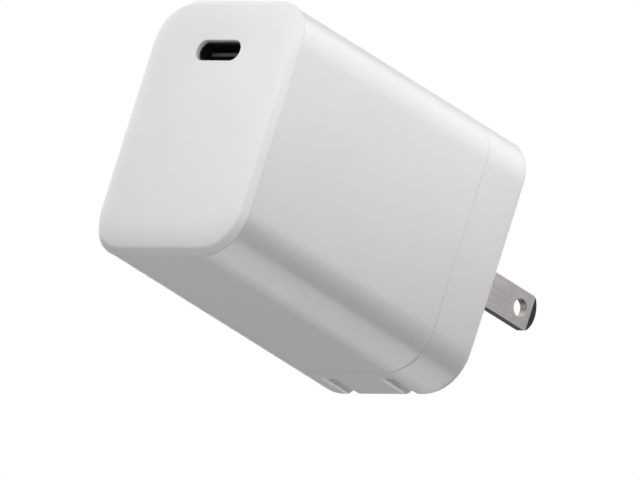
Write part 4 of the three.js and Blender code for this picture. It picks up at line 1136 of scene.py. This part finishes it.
# ------------------------------------------------------------------ soft studio light
# A white cyclorama: what the camera sees is white, and what lights the charger is a sum of
# soft lobes, each (direction towards the light, sharpness, strength).
LOBES = [
    ((0.217, 0, 0.976), 9, 0.487), ((0.041, -0.471, 0.881), 9, 0.31), ((0.336, 0.439, 0.833), 9, 0.212),
    ((-0.609, -0.108, 0.786), 9, 0.119), ((-0.773, 0.319, 0.548), 9, 0.072), ((-0.124, -0.957, 0.262), 9, 0.222),
    ((-0.985, 0.041, 0.167), 9, 0.077), ((-0.316, -0.879, -0.357), 9, 0.257), ((-0.635, -0.492, -0.595), 9, 0.249),
    ((-0.55, -0.051, -0.833), 9, 0.185), ((0.527, 0.65, -0.547), 100, 0.118), ((0.379, 0.65, -0.658), 100, 5.761),
    ((0.208, 0.65, -0.731), 100, 2.984), ((0.025, 0.65, -0.759), 100, 3.562), ((-0.159, 0.65, -0.743), 100, 1.194),
    ((-0.334, 0.65, -0.682), 100, 2.324), ((0.705, 0.65, 0.284), 45, 0.242), ((0.157, 0.65, -0.743), 45, 0.01),
    ((-0.107, 0.65, -0.752), 45, 1.326), ((-0.358, 0.65, -0.67), 45, 0.181), ((-0.565, 0.65, -0.508), 45, 0.914),
    ((0.565, 0.65, 0.508), 45, 0.579), ((0.286, 0.65, 0.704), 45, 1.113), ((-0.629, 0.65, 0.426), 45, 0.428),
    ((-0.285, -0.916, 0.284), 45, 0.866), ((-0.705, -0.421, 0.571), 45, 0.184), ((-0.935, -0.211, 0.284), 45, 1.235),
    ((0.211, -0.935, 0.284), 45, 0.778), ((-0.705, -0.08, 0.705), 45, 0.658), ((-0.916, 0.285, 0.284), 45, 1.78),
    ((-0.705, -0.284, -0.65), 45, 0.059), ((-0.705, 0.284, 0.65), 45, 0.448), ((-0.65, 0.705, 0.284), 45, 4.214),
    ((0.062, 0.957, 0.284), 45, 0.524),
]
# Round softboxes close by: (direction from the charger, distance mm, power mW).
SOFTBOXES = [
    ((0.256, 0, 0.967), 140, 16.3), ((0.048, -0.551, 0.833), 140, 2), ((0.391, 0.51, 0.767), 140, 14.1),
    ((-0.703, -0.124, 0.7), 140, 9.2), ((0.653, -0.415, 0.633), 140, 10.5), ((0.847, 0.309, 0.433), 140, 28.5),
    ((-0.86, 0.355, 0.367), 140, 11.4), ((0.404, -0.864, 0.3), 140, 22.4), ((0.291, 0.928, 0.233), 140, 7.8),
    ((-0.853, -0.494, 0.167), 140, 8.1), ((-0.128, -0.991, -0.033), 140, 11.6), ((-0.985, 0.041, -0.167), 140, 3.5),
    ((0.181, -0.804, -0.567), 140, 15.6), ((-0.213, 0.51, -0.833), 140, 1.8), ((-0.148, -0.41, -0.9), 140, 4.3),
    ((0.053, -0.609, 0.792), 85, 0.9), ((0.429, 0.56, 0.708), 85, 9.6), ((-0.769, -0.136, 0.625), 85, 3.4),
    ((0.709, -0.451, 0.542), 85, 9.7), ((-0.427, -0.823, 0.375), 85, 5.9), ((0.898, 0.328, 0.292), 85, 13.5),
    ((-0.904, 0.373, 0.208), 85, 1.8), ((0.421, -0.899, 0.125), 85, 14.7), ((-0.864, -0.501, -0.042), 85, 5.4),
    ((-0.123, -0.949, -0.292), 85, 0.8), ((-0.036, 0.78, -0.625), 85, 2.1),
]
# LOBES-END


def make_world(lobes):
    w = bpy.data.worlds.new("studio")
    w.use_nodes = True
    nt = w.node_tree
    nt.nodes.clear()
    out = nt.nodes.new("ShaderNodeOutputWorld")
    tc = nt.nodes.new("ShaderNodeTexCoord")
    total = None
    for d, k, s in lobes:
        v = Vector(d).normalized()
        dot = nt.nodes.new("ShaderNodeVectorMath"); dot.operation = "DOT_PRODUCT"
        nt.links.new(tc.outputs["Generated"], dot.inputs[0])
        dot.inputs[1].default_value = v
        e = math_node(nt, "SUBTRACT", dot.outputs["Value"], 1.0)
        e = math_node(nt, "MULTIPLY", e, k)
        e = math_node(nt, "EXPONENT", e)
        e = math_node(nt, "MULTIPLY", e, s)
        total = e if total is None else math_node(nt, "ADD", total, e)
    light = nt.nodes.new("ShaderNodeBackground")
    nt.links.new(total, light.inputs["Strength"])
    light.inputs["Color"].default_value = (1, 1, 1, 1)
    seen = nt.nodes.new("ShaderNodeBackground")
    seen.inputs["Color"].default_value = (1, 1, 1, 1)
    lp = nt.nodes.new("ShaderNodeLightPath")
    mx = nt.nodes.new("ShaderNodeMixShader")
    nt.links.new(lp.outputs["Is Camera Ray"], mx.inputs[0])
    nt.links.new(light.outputs[0], mx.inputs[1])
    nt.links.new(seen.outputs[0], mx.inputs[2])
    nt.links.new(mx.outputs[0], out.inputs[0])
    SCENE.world = w
    return w


make_world(LOBES)


def make_softboxes(rows):
    mid = Vector((0.0, -0.028, 0.0))
    for i, (d, far, mw) in enumerate(rows):
        v = Vector(d).normalized()
        data = bpy.data.lights.new("softbox_%02d" % i, "AREA")
        data.shape, data.size, data.energy = "DISK", far * 0.0009, mw * 0.001
        ob = bpy.data.objects.new(data.name, data)
        ob.location = mid + v * (far * 0.001)
        ob.rotation_euler = (-v).to_track_quat("-Z", "Y").to_euler()
        ob.visible_camera = False
        SCENE.collection.objects.link(ob)


make_softboxes(SOFTBOXES)


# ------------------------------------------------------------------ pale floor
def make_floor():
    """A pale table top under the charger. Only a camera above it sees it: from below it is
    clear, because the main view looks up at the charger from under the table's height."""
    bm = bmesh.new()
    bmesh.ops.create_circle(bm, cap_ends=True, segments=96, radius=900.0)
    bmesh.ops.translate(bm, vec=(0, -20, -21.52), verts=bm.verts)
    ob = obj_from_bm("floor", bm)
    if ob.data.polygons[0].normal.z < 0:
        ob.data.flip_normals()
    m, nt, p = nodes_of("floor_pale")
    out = [n for n in nt.nodes if n.type == "OUTPUT_MATERIAL"][0]
    nt.nodes.remove(p)
    # evenly lit: its only shading is the soft shade close round the charger
    ao = nt.nodes.new("ShaderNodeAmbientOcclusion")
    ao.samples = 12
    ao.inputs["Distance"].default_value = 0.055
    cl = noise(nt, coords(nt), 0.02, 2.0)
    tone = mix_rgb(nt, cl, (0.80, 0.80, 0.795), (0.83, 0.83, 0.825))
    p = nt.nodes.new("ShaderNodeEmission")
    nt.links.new(mix_rgb(nt, math_node(nt, "POWER", ao.outputs["AO"], 1.15), (0.05, 0.05, 0.05), tone), p.inputs["Color"])
    # fades to the white surround with distance
    geo = nt.nodes.new("ShaderNodeNewGeometry")
    ln = nt.nodes.new("ShaderNodeVectorMath"); ln.operation = "LENGTH"
    nt.links.new(geo.outputs["Position"], ln.inputs[0])
    far = remap(nt, ln.outputs["Value"], 0.0, 1.0, 0.06, 0.15)
    lp = nt.nodes.new("ShaderNodeLightPath")
    clear = math_node(nt, "MAXIMUM", far, geo.outputs["Backfacing"])
    tr = nt.nodes.new("ShaderNodeBsdfTransparent")
    mx = nt.nodes.new("ShaderNodeMixShader")
    nt.links.new(clear, mx.inputs[0])
    nt.links.new(p.outputs[0], mx.inputs[1])
    nt.links.new(tr.outputs[0], mx.inputs[2])
    nt.links.new(mx.outputs[0], out.inputs[0])
    ob.data.materials.append(m)
    ob.visible_diffuse = ob.visible_glossy = ob.visible_transmission = ob.visible_shadow = False
    return ob


make_floor()
